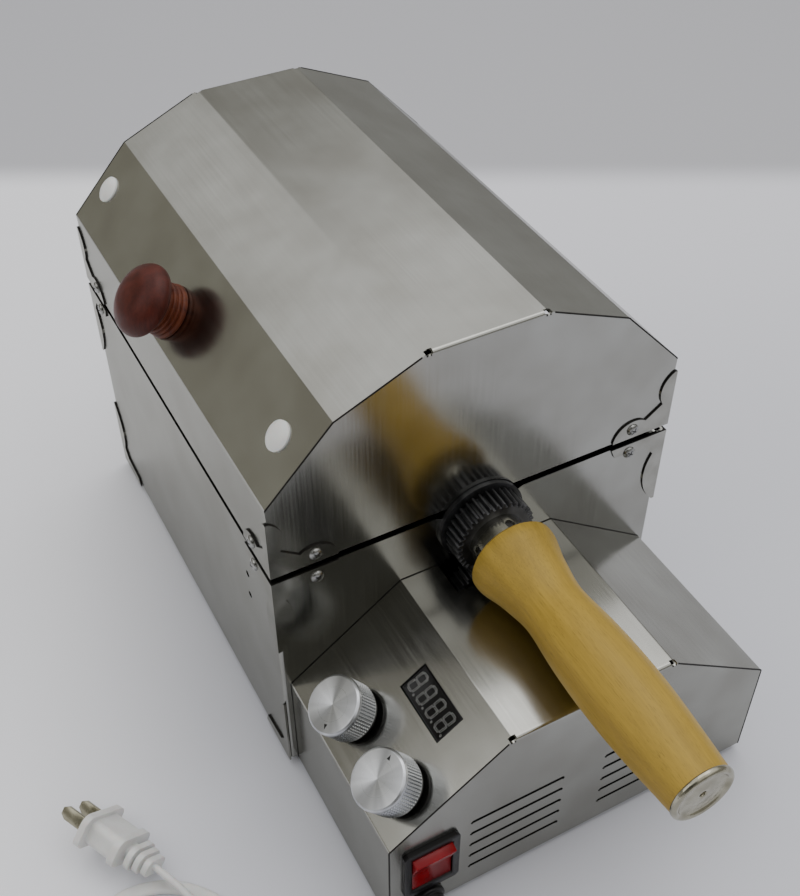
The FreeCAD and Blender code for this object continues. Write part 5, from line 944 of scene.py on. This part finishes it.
def points_mesh(points: Sequence[Vector] = (Vector(),), **facts: Sequence[Any]) -> Mesh:
    """Loose points with named facts on each, for a tree to work on.

    Args:
        points: places in metres; one point at the origin where left out.
        facts: for each name a list of numbers or vectors, one for each point.
    Returns:
        A mesh of points only.
    """
    mesh = bpy.data.meshes.new("points")
    mesh.from_pydata([tuple(p) for p in points], [], [])
    for name, values in facts.items():
        is_number = isinstance(values[0], (int, float))
        layer = mesh.attributes.new(name, "FLOAT" if is_number else "FLOAT_VECTOR", "POINT")
        for item, value in zip(layer.data, values):
            setattr(item, "value" if is_number else "vector", value)
    return mesh


def screw_recipe() -> Recipe:
    """Pan-head sheet screws with a cross recess, each turned at random about its own axis."""
    recipe = Recipe("cross_head_screws", Radius=2.9 * MM, Dome=1.9 * MM, Recess=0.55 * MM, Seed=7)
    given, times, xyz = recipe.given, recipe.times, recipe.xyz
    radius, dome, slit = given["Radius"], given["Dome"], given["Recess"]
    ball = recipe.node("GeometryNodeMeshUVSphere", {"Segments": 28, "Rings": 14, "Radius": 1.0})
    head = recipe.node("GeometryNodeTransform",
                       {"Geometry": ball, "Scale": xyz(radius, radius, dome)})
    long, deep, wide = times(radius, 1.15), times(dome, 1.1), times(radius, 3.0)
    top, below = xyz(z=dome), xyz(z=times(radius, -1.5))
    cutter = put(recipe.tree, "GeometryNodeMeshBoolean", {0: head}, operation="DIFFERENCE",
                 solver="EXACT")
    for size, at in ((xyz(long, slit, deep), top), (xyz(slit, long, deep), top),
                     (xyz(wide, wide, wide), below)):
        recipe.tree.links.new(recipe.block(size, at), cutter.inputs["Mesh 2"])
    spin = put(recipe.tree, "FunctionNodeRandomValue",
               {"Seed": given["Seed"], 2: 0.0, 3: math.tau}, data_type="FLOAT").outputs[1]
    own = recipe.node("FunctionNodeEulerToRotation", {0: xyz(z=spin)})
    aligned = recipe.node("FunctionNodeAlignRotationToVector",
                          {"Vector": recipe.fact("way", "FLOAT_VECTOR")}, axis="Z")
    both = recipe.node("FunctionNodeRotateRotation", {0: aligned, 1: own},
                       rotation_space="LOCAL")
    return recipe.end_with(recipe.spread(given["Geometry"], cutter.outputs[0], Rotation=both))


def knurl_recipe() -> Recipe:
    """Knurled skirt: rows of small sharp ridges round an upright drum."""
    recipe = Recipe("cross_knurl", Count=64, Rows=7, Radius=12.1 * MM, Ridge=0.5 * MM,
                    Pitch=1.5 * MM)
    given = recipe.given
    rows = recipe.node("GeometryNodeMeshLine", {"Count": given["Rows"],
                                                "Offset": recipe.xyz(z=given["Pitch"])},
                       mode="OFFSET")
    ring = recipe.node("GeometryNodeMeshCircle", {"Vertices": given["Count"],
                                                  "Radius": given["Radius"]})
    spots = recipe.real(recipe.spread(rows, ring))
    ridge = recipe.node("GeometryNodeMeshCylinder",
                        {"Vertices": 4, "Radius": given["Ridge"],
                         "Depth": recipe.times(given["Pitch"], 0.74)})
    outwards = vector(recipe.tree, "MULTIPLY", recipe.node("GeometryNodeInputPosition"),
                      (1.0, 1.0, 0.0))
    aligned = recipe.node("FunctionNodeAlignRotationToVector", {"Vector": outwards}, axis="X")
    return recipe.end_with(recipe.spread(spots, ridge, Rotation=aligned))


def coil_recipe() -> Recipe:
    """Resistance wire wound into a long upright helix."""
    recipe = Recipe("heater_wire", Turns=70.0, Radius=2.6 * MM, Length=176.0 * MM, Wire=0.35 * MM)
    given = recipe.given
    helix = recipe.node("GeometryNodeCurveSpiral",
                        {"Resolution": 12, "Rotations": given["Turns"],
                         "Start Radius": given["Radius"], "End Radius": given["Radius"],
                         "Height": given["Length"]})
    return recipe.end_with(recipe.sweep(helix, recipe.ring(5, given["Wire"])))


def flat_cord_recipe() -> Recipe:
    """Flat twin cord: a rounded section that follows a path and turns with it."""
    recipe = Recipe("flat_cord", Width=6.0 * MM, Thick=3.0 * MM, Round=1.45 * MM)
    given = recipe.given
    section = recipe.node("GeometryNodeFilletCurve",
                          {"Curve": recipe.oblong(given["Width"], given["Thick"]), "Count": 5,
                           "Radius": given["Round"]}, mode="POLY")
    path = recipe.node("GeometryNodeMeshToCurve", {"Mesh": given["Geometry"]})
    path = recipe.node("GeometryNodeSetCurveNormal", {"Curve": path}, mode="Z_UP")
    path = recipe.node("GeometryNodeSetCurveTilt", {"Curve": path, "Tilt": recipe.fact("turn")})
    return recipe.end_with(recipe.sweep(path, section))


def seam_recipe() -> Recipe:
    """Painted shade in the gap where two flaps of a sheet meet, at the sheet's cut edge: a fine
    dark line that follows the seam.
    """
    recipe = Recipe("sheet_seams", Line=0.36 * MM)
    path = recipe.node("GeometryNodeMeshToCurve", {"Mesh": recipe.given["Geometry"]})
    return recipe.end_with(recipe.sweep(path, recipe.ring(6, recipe.given["Line"])))


def segment_recipe() -> Recipe:
    """Display segments: bars outlined in a thin line, one on each point."""
    recipe = Recipe("display_segments", Long=2.2 * MM, Wide=0.42 * MM, Line=0.09 * MM)
    given = recipe.given
    bar = recipe.oblong(recipe.times(given["Long"], 2.0), recipe.times(given["Wide"], 2.0))
    angle = recipe.node("FunctionNodeEulerToRotation", {0: recipe.xyz(z=recipe.fact("turn"))})
    bars = recipe.spread(given["Geometry"], bar, Rotation=angle,
                         Scale=recipe.xyz(recipe.fact("share"), 1.0, 1.0))
    return recipe.end_with(recipe.sweep(recipe.real(bars), recipe.ring(4, given["Line"]), False))


# --- sub-assemblies -----------------------------------------------------------------------
AWAY: Point = (-0.881, 0.473, 0.0)
SIDEWAYS: Point = (-0.473, -0.881, 0.0)
MIDDLE: Point = (0.0, 0.0, 0.1)


def facing_x(x: float, y: float, z: float) -> Matrix:
    """Matrix of a spot in metres, with its Z along the roaster's X."""
    return Matrix.Translation((x, y, z)) @ Matrix.Rotation(math.radians(90.0), 4, "Y")


@dataclass(frozen=True)
class Glow:
    """A soft patch of the room round a direction: a window, a pale wall or a dark figure."""

    way: Point
    core: float
    rim: float
    tone: str


@dataclass(frozen=True)
class PaintedLightStep:
    """A soft step of painted light and shade in the paper's tone along a direction, from one
    distance to another in metres.
    """

    way: Point
    near: float
    far: float
    tone: str


@dataclass(frozen=True)
class SoftBox:
    """A round lamp: its place and width in metres, and its power in watts."""

    name: str
    at: Point
    width: float
    power: float


@dataclass
class Studio:
    """Camera, pale sweep of paper, soft lamps and the room that the steel mirrors."""

    eye: Point = (0.417852, -0.200349, 0.498425)
    aim: Point = (46.80551, 0.11254, 61.78439)
    lens: float = 49.803
    sensor: float = 36.0
    paper: str = "#dadbe3"
    paper_roughness: float = 0.75
    paper_half: float = 4.0
    # Painted light and shade on the paper: lighter behind the roaster and to its left, darker
    # beyond the bend.
    painted_light_steps: tuple[PaintedLightStep, ...] = (
        PaintedLightStep(AWAY, 0.02, 0.34, "#e7e7ee"), PaintedLightStep(SIDEWAYS, 0.04, 0.17, "#f8f8fd"),
        PaintedLightStep(AWAY, 0.352, 0.395, "#b9b9be"))
    low_room: str = "#93928d"
    high_room: str = "#ffffff"
    upwards: Point = (0.0, 0.15, 1.0)
    dusk: float = 0.46
    bright: float = 0.74
    strength: float = 1.25
    glows: tuple[Glow, ...] = (
        Glow((-0.75, -0.62, 0.21), 12.0, 36.0, "#97958a"),
        Glow((-0.72, 0.69, 0.03), 5.0, 26.0, "#a9a9a8"),
        Glow((-0.84, -0.16, 0.52), 3.0, 13.0, "#c9c9c7"),
        Glow((-0.81, -0.19, 0.55), 1.0, 5.0, "#f8f8f8"),
        Glow((-0.69, -0.24, 0.69), 1.0, 9.0, "#ffffff"),
        Glow((-0.69, 0.41, 0.59), 1.0, 9.0, "#ffffff"),
        Glow((-0.45, -0.70, 0.58), 4.0, 22.0, "#807e76"),
        Glow((0.58, -0.63, 0.51), 10.0, 40.0, "#676762"),
        Glow((0.75, -0.42, 0.51), 5.0, 17.0, "#2e2e2b"))
    boxes: tuple[SoftBox, ...] = (
        SoftBox("overhead", (-0.1, 0.3, 1.6), 1.3, 6.0),
        SoftBox("user_side", (-0.1, -1.3, 1.1), 1.0, 3.0))

    def build(self) -> None:
        """Set up everything round the roaster."""
        self.camera()
        self.floor()
        self.sky()
        self.lamps()

    def camera(self) -> None:
        """Stand the camera above the handle's side and look down at the lid."""
        data = bpy.data.cameras.new("camera")
        data.lens = self.lens
        data.sensor_width = self.sensor
        data.clip_start = 0.01
        camera = shown("camera", data)
        camera.location = self.eye
        camera.rotation_euler = Euler(tuple(math.radians(a) for a in self.aim))
        bpy.context.scene.camera = camera

    def floor(self) -> None:
        """Lay the paper, with painted light and shade: brighter up to its bend behind the roaster
        and to its left, and duller beyond it.
        """
        paper = bpy.data.materials.new("paper_sweep")
        paper.use_nodes = True
        tree = paper.node_tree
        shader = tree.nodes["Principled BSDF"]
        shader.inputs["Roughness"].default_value = self.paper_roughness
        place = put(tree, "ShaderNodeTexCoord").outputs["Object"]
        tone: Any = linear(self.paper)
        # Each step mixes painted light and shade into the paper's colour.
        for fade in self.painted_light_steps:
            share = span(tree, vector(tree, "DOT_PRODUCT", place, fade.way), fade.near, fade.far,
                         smooth=True)
            tone = mix(tree, share, tone, linear(fade.tone))
        tree.links.new(tone, shader.inputs["Base Color"])
        half = self.paper_half
        mesh = bpy.data.meshes.new("paper")
        mesh.from_pydata([(-half, -half, 0), (half, -half, 0), (half, half, 0), (-half, half, 0)],
                         [], [(0, 1, 2, 3)])
        mesh.materials.append(paper)
        shown("paper", mesh)

    def sky(self) -> None:
        """Surround the roaster with a room: dim and olive low down, pale overhead."""
        world = bpy.data.worlds.new("room")
        world.use_nodes = True
        bpy.context.scene.world = world
        tree = world.node_tree
        back = tree.nodes["Background"]
        way = put(tree, "ShaderNodeTexCoord").outputs["Generated"]
        height = span(tree, vector(tree, "DOT_PRODUCT", way, self.upwards), self.dusk, self.bright,
                      smooth=True)
        room = mix(tree, height, linear(self.low_room), linear(self.high_room))
        for glow in self.glows:
            aimed = vector(tree, "DOT_PRODUCT", way, tuple(Vector(glow.way).normalized()))
            rim, core = (math.cos(math.radians(angle)) for angle in (glow.rim, glow.core))
            room = mix(tree, span(tree, aimed, rim, core, smooth=True), room, linear(glow.tone))
        tree.links.new(room, back.inputs["Color"])
        back.inputs["Strength"].default_value = self.strength

    def lamps(self) -> None:
        """Hang two broad soft boxes, where no face of the lid mirrors them to the camera."""
        for box in self.boxes:
            data = bpy.data.lights.new(box.name, "AREA")
            data.shape = "DISK"
            data.size = box.width
            data.energy = box.power
            lamp = shown(box.name, data)
            lamp.location = box.at
            aim = Vector(MIDDLE) - Vector(box.at)
            lamp.rotation_euler = aim.to_track_quat("-Z", "Y").to_euler()


@dataclass
class MainsLead:
    """White mains cord with its plug, and the spare length wound up beside it; in millimetres."""

    diameter: float = 6.0
    thick: float = 3.0
    twist: float = 73.0
    held: float = 26.0
    untwist: float = 40.0
    coil_middle: Point = (212.0, -190.0, 0.2)
    first_angle: float = 232.4
    turns: float = 5.69
    per_turn: int = 14
    inward: float = 2.6
    climbed: float = 3.1
    lying: float = 1.8
    layer: float = 1.05
    outer: float = 39.0
    plug_end: Point = (138.8, -169.2, 10.95)
    plug_turn: Point = (28.0, 4.6, -44.0)
    blade_root: float = 32.4
    blade_tip: float = 47.4
    blade_half: float = 3.15
    blade_spread: float = 6.35
    blade_sheet: float = 0.75
    tip_long: float = 2.4
    tip_wide: float = 1.6
    to_coil: tuple[Point, ...] = (
        (228.7, -73.6, 11.6), (242.7, -73.6, 11.2), (257.5, -81.9, 7.2), (266.4, -96.4, 3.0),
        (267.0, -113.4, 1.8), (259.2, -128.5, 1.8), (245.1, -137.9, 1.8), (222.0, -139.6, 1.8),
        (200.0, -140.2, 1.8), (178.5, -143.5, 1.8), (158.5, -151.5, 1.8), (144.5, -165.0, 1.8),
        (139.0, -183.0, 1.8), (144.0, -200.5, 1.8), (156.5, -212.5, 1.8), (172.0, -218.3, 1.8))
    to_plug: tuple[Point, ...] = (
        (190.0, -155.2, 4.6), (171.0, -157.2, 5.6), (152.88, -161.71, 9.67), (138.8, -169.2, 10.95))

    def build(self) -> None:
        """Make the cord, then the plug that ends it."""
        plug = self.plug()
        path = self.path()
        mesh = flat_cord_recipe().run(path, WHITE_PVC)
        cord = piece("mains_cord", soften(mesh, 40.0), WHITE_PVC,
                     ("power_cord", "plug_cord", "cord_coil"))
        tuple(v * MM for v in self.to_coil[0])
        [tuple(vert.co) for vert in path.vertices]

    def path(self) -> Mesh:
        """The cord's smooth line.

        Returns:
            A chain of points; "turn" holds the angle that the plug leaves in the cord.
        """
        data = bpy.data.curves.new("cord_route", "CURVE")
        data.dimensions = "3D"
        data.resolution_u = 8
        line = data.splines.new("NURBS")
        route = [*self.to_coil, *self.wound(), *self.to_plug]
        line.points.add(len(route) - 1)
        for point, (x, y, z) in zip(line.points, route):
            point.co = (x * MM, y * MM, z * MM, 1.0)
        line.order_u = 3
        line.use_endpoint_u = True
        path = baked(data)
        layer = path.attributes.new("turn", "FLOAT", "POINT")
        walked, before = 0.0, path.vertices[-1].co
        for at in range(len(path.vertices) - 1, -1, -1):
            here = path.vertices[at].co
            walked += (here - before).length / MM
            before = here
            left = max(1.0 - max(walked - self.held, 0.0) / self.untwist, 0.0)
            layer.data[at].value = math.radians(self.twist) * left * left * (3.0 - 2.0 * left)
        return path

    def wound(self) -> list[Point]:
        """Turns of the coil: inwards on the surface, up a layer, and outwards again.

        Returns:
            Points of the cord's line, in millimetres.
        """
        pull = 1.0 / math.cos(math.pi / self.per_turn)
        count = round(self.turns * self.per_turn)
        points = []
        for step in range(1, count):
            turn = self.turns * step / count
            spiral = min(turn, self.inward) - max(turn - self.climbed, 0.0)
            radius = (self.outer - self.diameter * spiral) * pull
            rise = min(max((turn - self.inward) / (self.climbed - self.inward), 0.0), 1.0)
            angle = math.radians(self.first_angle + 360.0 * turn)
            points.append((self.coil_middle[0] + radius * math.cos(angle),
                           self.coil_middle[1] + radius * math.sin(angle),
                           self.lying + self.layer * self.thick * math.sin(rise * math.pi / 2)))
        return points

    def plug(self) -> list[Object]:
        """Moulded plug with a slotted relief and two flat blades.

        Returns:
            The pieces on the cord.
        """
        place = Matrix.Translation(Vector(self.plug_end) * MM)
        for angle, axis in zip((*self.plug_turn, -90.0), "ZYXY"):
            place = place @ Matrix.Rotation(math.radians(angle), 4, axis)
        moulding = soften(broken_edges(copied("plug_body"), 0.4, 40.0), 50.0)
        body = piece("plug_moulding", moulding, WHITE_PVC, ("plug_body",))
        tip, root, half = self.blade_tip, self.blade_root, self.blade_half
        shoulder, point = tip - self.tip_long, half - self.tip_wide
        outline = [(half, root), (half, shoulder), (point, tip), (-point, tip),
                   (-half, shoulder), (-half, root)]
        blades = [slab(outline, -self.blade_sheet, self.blade_sheet,
                       place @ Matrix.Translation((0, side * self.blade_spread * MM, 0))
                       @ Matrix.Rotation(math.radians(90.0), 4, "X")) for side in (-1, 1)]
        pair = piece("plug_contacts", broken_edges(joined(blades), 0.2, 40.0), CONTACT,
                     ("plug_blades",))
        return [body, pair]


@dataclass
class Fasteners:
    """Sheet screws of the guards, hinges and housing."""

    dome: float = 1.5

    def build(self) -> None:
        """Put a cross-headed screw where each plain one stands in the frame."""
        recipe = screw_recipe()
        for node in ("body_screws", "lid_screws"):
            points, ways, radii = [], [], []
            for low, high in islands(node):
                size, middle = high - low, (low + high) / 2
                thin = min(range(3), key=lambda k: size[k])
                way = Vector((0, 0, 0))
                way[thin] = 1.0 if middle[thin] > 0 else -1.0
                points.append(middle - way * size[thin] / 2)
                ways.append(way)
                radii.append(max(size) / 2)
            mesh = recipe.run(points_mesh(points, way=ways), ZINC, Radius=max(radii),
                              Dome=self.dome * MM)
            piece(node + "_crossed", soften(mesh, ROUND_CREASE), ZINC, (node,))


@dataclass
class RoastingBox:
    """Tub, reflector, heaters, corner guards, hinges and feet; in millimetres."""

    tube_radius: float = 6.0
    tube_wall: float = 1.0
    cold_end: float = 10.0

    def build(self) -> None:
        """Dress the box and what is fixed to it."""
        dress(SHELL_STEEL, "body_tub", flat=True)
        guard("body_corner_guards")
        dress(REFLECTOR, "reflector_liner")
        dress(RUBBER, "rubber_feet", crease=ROUND_CREASE)
        dress(TRIM_STEEL, "hinge_body_leaves")
        for finish, node in ((CERAMIC, "heater_ceramics"), (BLACKED, "front_bush"),
                             (TURNED, "rear_bush")):
            dress(finish, node, crease=ROUND_CREASE)
        paint(TRIM_STEEL, "heater_brackets", "hinge_pins")
        paint(TURNED, "temperature_probe")
        self.heaters()

    def heaters(self) -> None:
        """Clear tubes with a wound wire inside them."""
        low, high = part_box("quartz_heaters")
        length, outer = (high.x - low.x) / MM, self.tube_radius
        inner = outer - self.tube_wall
        profile = [(inner, 0), (outer, 0), (outer, length), (inner, length), (inner, 0)]
        tubes, wires = [], []
        recipe = coil_recipe()
        for side in (-1, 1):
            place = facing_x(low.x, side * (high.y - outer * MM), (low.z + high.z) / 2)
            tubes.append(lathe(profile, place, 40))
            wires.append(placed(recipe.run(points_mesh(), WIRE),
                                place @ Matrix.Translation((0, 0, self.cold_end * MM))))
        piece("quartz_tubes", joined(tubes), QUARTZ, ("quartz_heaters",))
        piece("heater_wires", soften(joined(wires), 60.0), WIRE, body="roaster_base",
              slot="quartz")


@dataclass
class Lid:
    """Folded lid with its wooden knob, snap-in plugs and trim; in millimetres."""

    slope: float = 47.0
    knob_at: Point = (-5.2, -85.861, 177.7)
    half_length: float = 114.0
    corner: float = 1.6

    def build(self) -> None:
        """Dress the lid and turn its knob."""
        sheet("lid_shell", self.seam, self.corner)
        guard("lid_corner_guards")
        dress(TRIM_STEEL, "hinge_lid_leaves")
        dress(WHITE_NYLON, "lid_hole_plugs")
        paint(ZINC, "lid_knob_screw")
        self.knob()

    def seam(self, middle: Vector, first: Vector, second: Vector) -> bool:
        """Whether an edge lies where an end wall butts against a sloping facet."""
        across, up = max(abs(first.x), abs(second.x)), max(first.z, second.z)
        return (abs(middle.x) > self.half_length - NEAR and across > UPRIGHT
                and SLOPING[0] < up < SLOPING[1])

    def knob(self) -> None:
        """Mushroom head over a stack of beads."""
        profile = eased([
            (0, 0), (12.1, 0, 0.6), (12.5, 1.2, 0.9), (12.0, 2.5, 0.5), (11.0, 2.9, 0.3),
            (11.9, 3.6, 0.8), (11.9, 4.6, 0.8), (10.7, 5.2, 0.3), (11.5, 5.9, 0.8),
            (11.4, 6.8, 0.8), (10.2, 7.4, 0.3), (10.9, 8.0, 0.7), (10.7, 8.7, 0.7),
            (9.9, 9.2, 0.6), (12.8, 10.0, 1.6), (15.9, 12.4, 3.0), (16.4, 15.0, 3.4),
            (14.7, 18.7, 5.0), (9.2, 22.4, 6.0), (3.0, 23.2, 3.0), (0, 23.2)], 7)
        place = (Matrix.Translation(Vector(self.knob_at) * MM)
                 @ Matrix.Rotation(math.radians(self.slope), 4, "X"))
        piece("lid_knob_turned", lathe(profile, place, 96), KNOB_WOOD, ("lid_knob",))


@dataclass(frozen=True)
class Dial:
    """A dial by its body's first word, its distance from the nose and its pointer's angle."""

    stem: str
    inset: float
    angle: float


@dataclass
class ControlHousing:
    """Folded housing with display, dials, switch and the cord's bushing; in millimetres."""

    nose: float = 204.1
    root: float = 114.0
    top: float = 98.2
    eave_y: float = -91.5
    eave_z: float = 59.7
    slope: float = 35.637
    display_x: float = 167.7
    display_rise: float = 47.3
    digit_tall: float = 4.5
    digit_wide: float = 3.9
    digit_pitch: float = 7.3
    digit_lean: float = 0.09
    digit_shift: float = -0.5
    point_gap: float = 1.1
    digit_sink: float = -0.6
    dials_at: tuple[Dial, ...] = (Dial("speed", 17.3, 20.0), Dial("temperature", 55.8, 215.0))
    dial_rise: float = 18.1
    dial_low: float = 2.4
    skirt_low: float = 4.3
    dial_top: float = 17.9
    dial_radius: float = 12.5
    web_low: float = 13.1
    web_high: float = 13.2
    bore: float = 11.4
    shaft_radius: float = 3.0
    knurl_rows: int = 7
    knurl_count: int = 60
    ridge: float = 0.5
    smooth_band: float = 3.2
    groove_pitch: float = 3.0
    groove_deep: float = 0.9
    groove_taper: float = 0.24

    def on_panel(self, x: float, rise: float, lift: float = 0.0) -> Matrix:
        """Matrix of a spot on the sloping panel, with its Z out of the panel.

        Args:
            x: place along the housing in millimetres.
            rise: distance up the slope from the eave.
            lift: distance out of the panel.
        Returns:
            The spot's matrix, in metres.
        """
        edge = Matrix.Translation(Vector((x, self.eave_y, self.eave_z)) * MM)
        tilt = Matrix.Rotation(math.radians(self.slope), 4, "X")
        return edge @ tilt @ Matrix.Translation(Vector((0.0, rise, lift)) * MM)

    def build(self) -> None:
        """Dress the housing and everything on its panels."""
        sheet("control_cover", self.seam)
        paint(SHELL_STEEL, "control_base")
        dress(SMOKED, "display_module", edge=0.25)
        dress(BLACK_ABS, "switch_frame", edge=0.5)
        dress(RED_PC, "switch_rocker", edge=0.35)
        self.bushing()
        self.digits()
        for dial in self.dials_at:
            self.dial(dial)
        paint(BOARD, "display_board", "control_board")
        paint(CASE, "power_supply")
        paint(TURNED, "speed_knob_shaft", "temperature_knob_shaft", "motor_shaft")
        paint(ZINC, "potentiometer_nuts", "switch_terminals", "motor_can", "motor_gearbox",
              "potentiometers")
        paint(TRIM_STEEL, "motor_bracket")

    def seam(self, middle: Vector, first: Vector, second: Vector) -> bool:
        """Whether an edge lies round the front panel's free sides or against the tub."""
        ends = sorted((first, second), key=lambda way: -abs(way.x))
        if abs(ends[0].x) < UPRIGHT:
            return False
        if middle.x > self.nose - NEAR:
            return (ends[0].x > 0 and ends[1].z < SLOPING[1]
                    and (ends[1].z > SLOPING[0] or self.at_side(middle)))
        return middle.x < self.root + NEAR and ends[0].x < 0 and self.outside(middle)

    def at_side(self, middle: Vector) -> bool:
        """Whether a point lies on the housing's upright sides, in millimetres."""
        return abs(middle.y) > abs(self.eave_y) - NEAR

    def outside(self, middle: Vector) -> bool:
        """Whether a point lies on the housing's outer skin, in millimetres."""
        down = (self.on_panel(0, 0).inverted() @ (Vector((0, -abs(middle.y), middle.z)) * MM)).z
        return self.at_side(middle) or abs(down) < NEAR * MM or middle.z > self.top - NEAR

    def digits(self) -> None:
        """Four unlit figures with their points."""
        tall, wide, lean = self.digit_tall, self.digit_wide, self.digit_lean
        flat, upright, dot = 0.85, 1.15, 0.2
        bars = [(0, y, 0.0, flat) for y in (tall, 0, -tall)]
        bars += [(sx * wide / 2, sy * tall / 2, math.pi / 2, upright) for sx in (-1, 1)
                 for sy in (-1, 1)]
        points, turns, shares = [], [], []
        for digit in range(4):
            x0 = (digit - 1.5) * self.digit_pitch + self.digit_shift
            for x, y, turn, share in bars:
                points.append(Vector((x0 + x + lean * y, y, 0)) * MM)
                turns.append(turn - (lean if turn else 0.0))
                shares.append(share)
            points.append(Vector((x0 + wide / 2 + self.point_gap, -tall, 0)) * MM)
            turns.append(0.0)
            shares.append(dot)
        mesh = segment_recipe().run(points_mesh(points, turn=turns, share=shares), SEGMENT,
                                    Long=1.55 * MM, Wide=0.36 * MM, Line=0.06 * MM)
        place = self.on_panel(self.display_x, self.display_rise, self.digit_sink)
        piece("display_digits", placed(mesh, place), SEGMENT, body="roaster_base",
              slot="display_black")

    def dial(self, dial: Dial) -> None:
        """Spun aluminium dial with a knurled skirt, a small dark pointer and a black core whose
        dark band is partly painted shade.

        Args:
            dial: which dial.
        """
        low, high, r, lip = self.dial_low, self.dial_top, self.dial_radius, self.skirt_low
        pitch = (high - lip - self.smooth_band) / self.knurl_rows
        place = self.on_panel(self.nose - dial.inset, self.dial_rise)
        finish = spun_dial("spun_aluminium_" + dial.stem, tuple(place.translation),
                           tuple(place.to_3x3() @ Vector((0, 0, 1))))
        skirt = eased([(self.bore, lip), (r - 0.5, lip), (r - 0.4, lip + 0.6),
                       (r - 0.4, high - 2.6), (r, high - 2.3, 0.2), (r, high - 0.8, 0.3),
                       (r - 0.8, high, 0.3), (1.0, high), (0.5, high - 0.15), (0, high - 0.15)])
        body = lathe([(0, self.web_high), (self.bore, self.web_high), *skirt], place, 96)
        ridges = knurl_recipe().run(points_mesh(), finish, Count=self.knurl_count,
                                    Rows=self.knurl_rows, Pitch=pitch * MM,
                                    Radius=(r - 0.5) * MM, Ridge=self.ridge * MM)
        ridges.transform(place @ Matrix.Translation((0, 0, (lip + 0.7 + pitch / 2) * MM)))
        piece(dial.stem + "_dial", joined((body, soften(ridges, 20.0))), finish,
              (dial.stem + "_knob",))
        # The black core is the dial's plastic insert, left tall below the skirt so its black band
        # also paints the shade under the dial.
        web, hub, rim = self.web_low, self.shaft_radius, self.bore - 0.05
        core = lathe([(hub, 7.0), (8.0, 7.0), (8.0, low), (rim, low), (rim, web), (hub, web),
                      (hub, 7.0)], place, 64)
        turn = place @ Matrix.Rotation(math.radians(dial.angle), 4, "Z")
        mark = slab([(-0.8, 8.2), (0.8, 8.2), (0.0, 10.4)], high - 0.3, high + 0.02, turn)
        for name, mesh in (("_dial_core", core), ("_dial_pointer", mark)):
            piece(dial.stem + name, mesh, BLACK_ABS, body=dial.stem + "_dial",
                  slot="black_plastic")

    def bushing(self) -> None:
        """Tapered bushing with grooves that let the cord bend."""
        low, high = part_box("cord_bushing")
        length, deep = (high.x - low.x) / MM, self.groove_deep
        place = facing_x(low.x, (low.y + high.y) / 2, (low.z + high.z) / 2)
        profile = [(0, 0), (4.9, 0), (4.9, 6.0), (6.8, 6.0, 0.4), (6.8, 8.6, 0.8), (5.4, 8.9, 0.3)]
        at, radius = 10.6, 5.3
        while at < length - self.groove_pitch:
            profile += [(radius, at, 0.3), (radius - deep, at + 0.3, 0.2),
                        (radius - deep, at + 1.1, 0.2), (radius - 0.1, at + 1.4, 0.3)]
            at += self.groove_pitch
            radius -= self.groove_taper
        profile += [(4.0, length, 0.4), (3.0, length), (0, length)]
        piece("bushing_grooved", lathe(eased(profile, 3), place, 48), BLACK_ABS, ("cord_bushing",))


@dataclass
class Drum:
    """Drum with its hatch, shaft, gear and turned wooden handle; in millimetres."""

    cap_depth: float = 2.6

    def build(self) -> None:
        """Dress the drum train from the far bush to the handle's cap."""
        dress(DRUM_STEEL, "drum_tube", "drum_front_plate", "drum_rear_plate", "drum_vanes",
              "hatch_rails", "drum_hatch")
        dress(TURNED, "drum_shaft", "shaft_collar")
        dress(BLACKED, "drum_gear", "motor_pinion", crease=20.0, edge=0.12)
        dress(TURNED, "gear_hub", edge=0.35)
        dress(BLACKED, "hub_set_screws", edge=0.2)
        dress(HANDLE_WOOD, "wooden_handle", crease=40.0)
        self.cap()

    def cap(self) -> None:
        """Pressed cap: a turned-over rim round a shallow dish with a small hole in its middle."""
        low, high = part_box("handle_end_cap")
        deep, r = self.cap_depth, (high.z - low.z) / 2 / MM
        place = facing_x(high.x - deep * MM, (low.y + high.y) / 2, (low.z + high.z) / 2)
        profile = eased([(0, 0), (r - 0.3, 0), (r, 0.4, 0.3), (r, deep - 1.1, 0.5),
                         (r - 0.9, deep, 0.9), (r - 2.3, deep - 0.2, 0.7),
                         (r - 3.2, deep - 1.2, 0.7), (r - 6.0, deep - 1.3, 1.0),
                         (2.3, deep - 0.9, 0.5), (1.4, deep - 1.1, 0.4), (1.2, deep - 2.3),
                         (0, deep - 2.3)], 6)
        piece("handle_cap_pressed", lathe(profile, place, 96), NICKEL, ("handle_end_cap",))


def main() -> None:
    """Build the studio, the cord and each sub-assembly in order."""
    logging.basicConfig(level=logging.INFO, format="%(name)s %(message)s")
    for group in (Studio(), MainsLead(), RoastingBox(), Lid(), ControlHousing(), Drum(),
                  Fasteners()):
        LOG.info("-- %s", type(group).__name__)
        group.build()


if __name__ == "__main__":
    main()
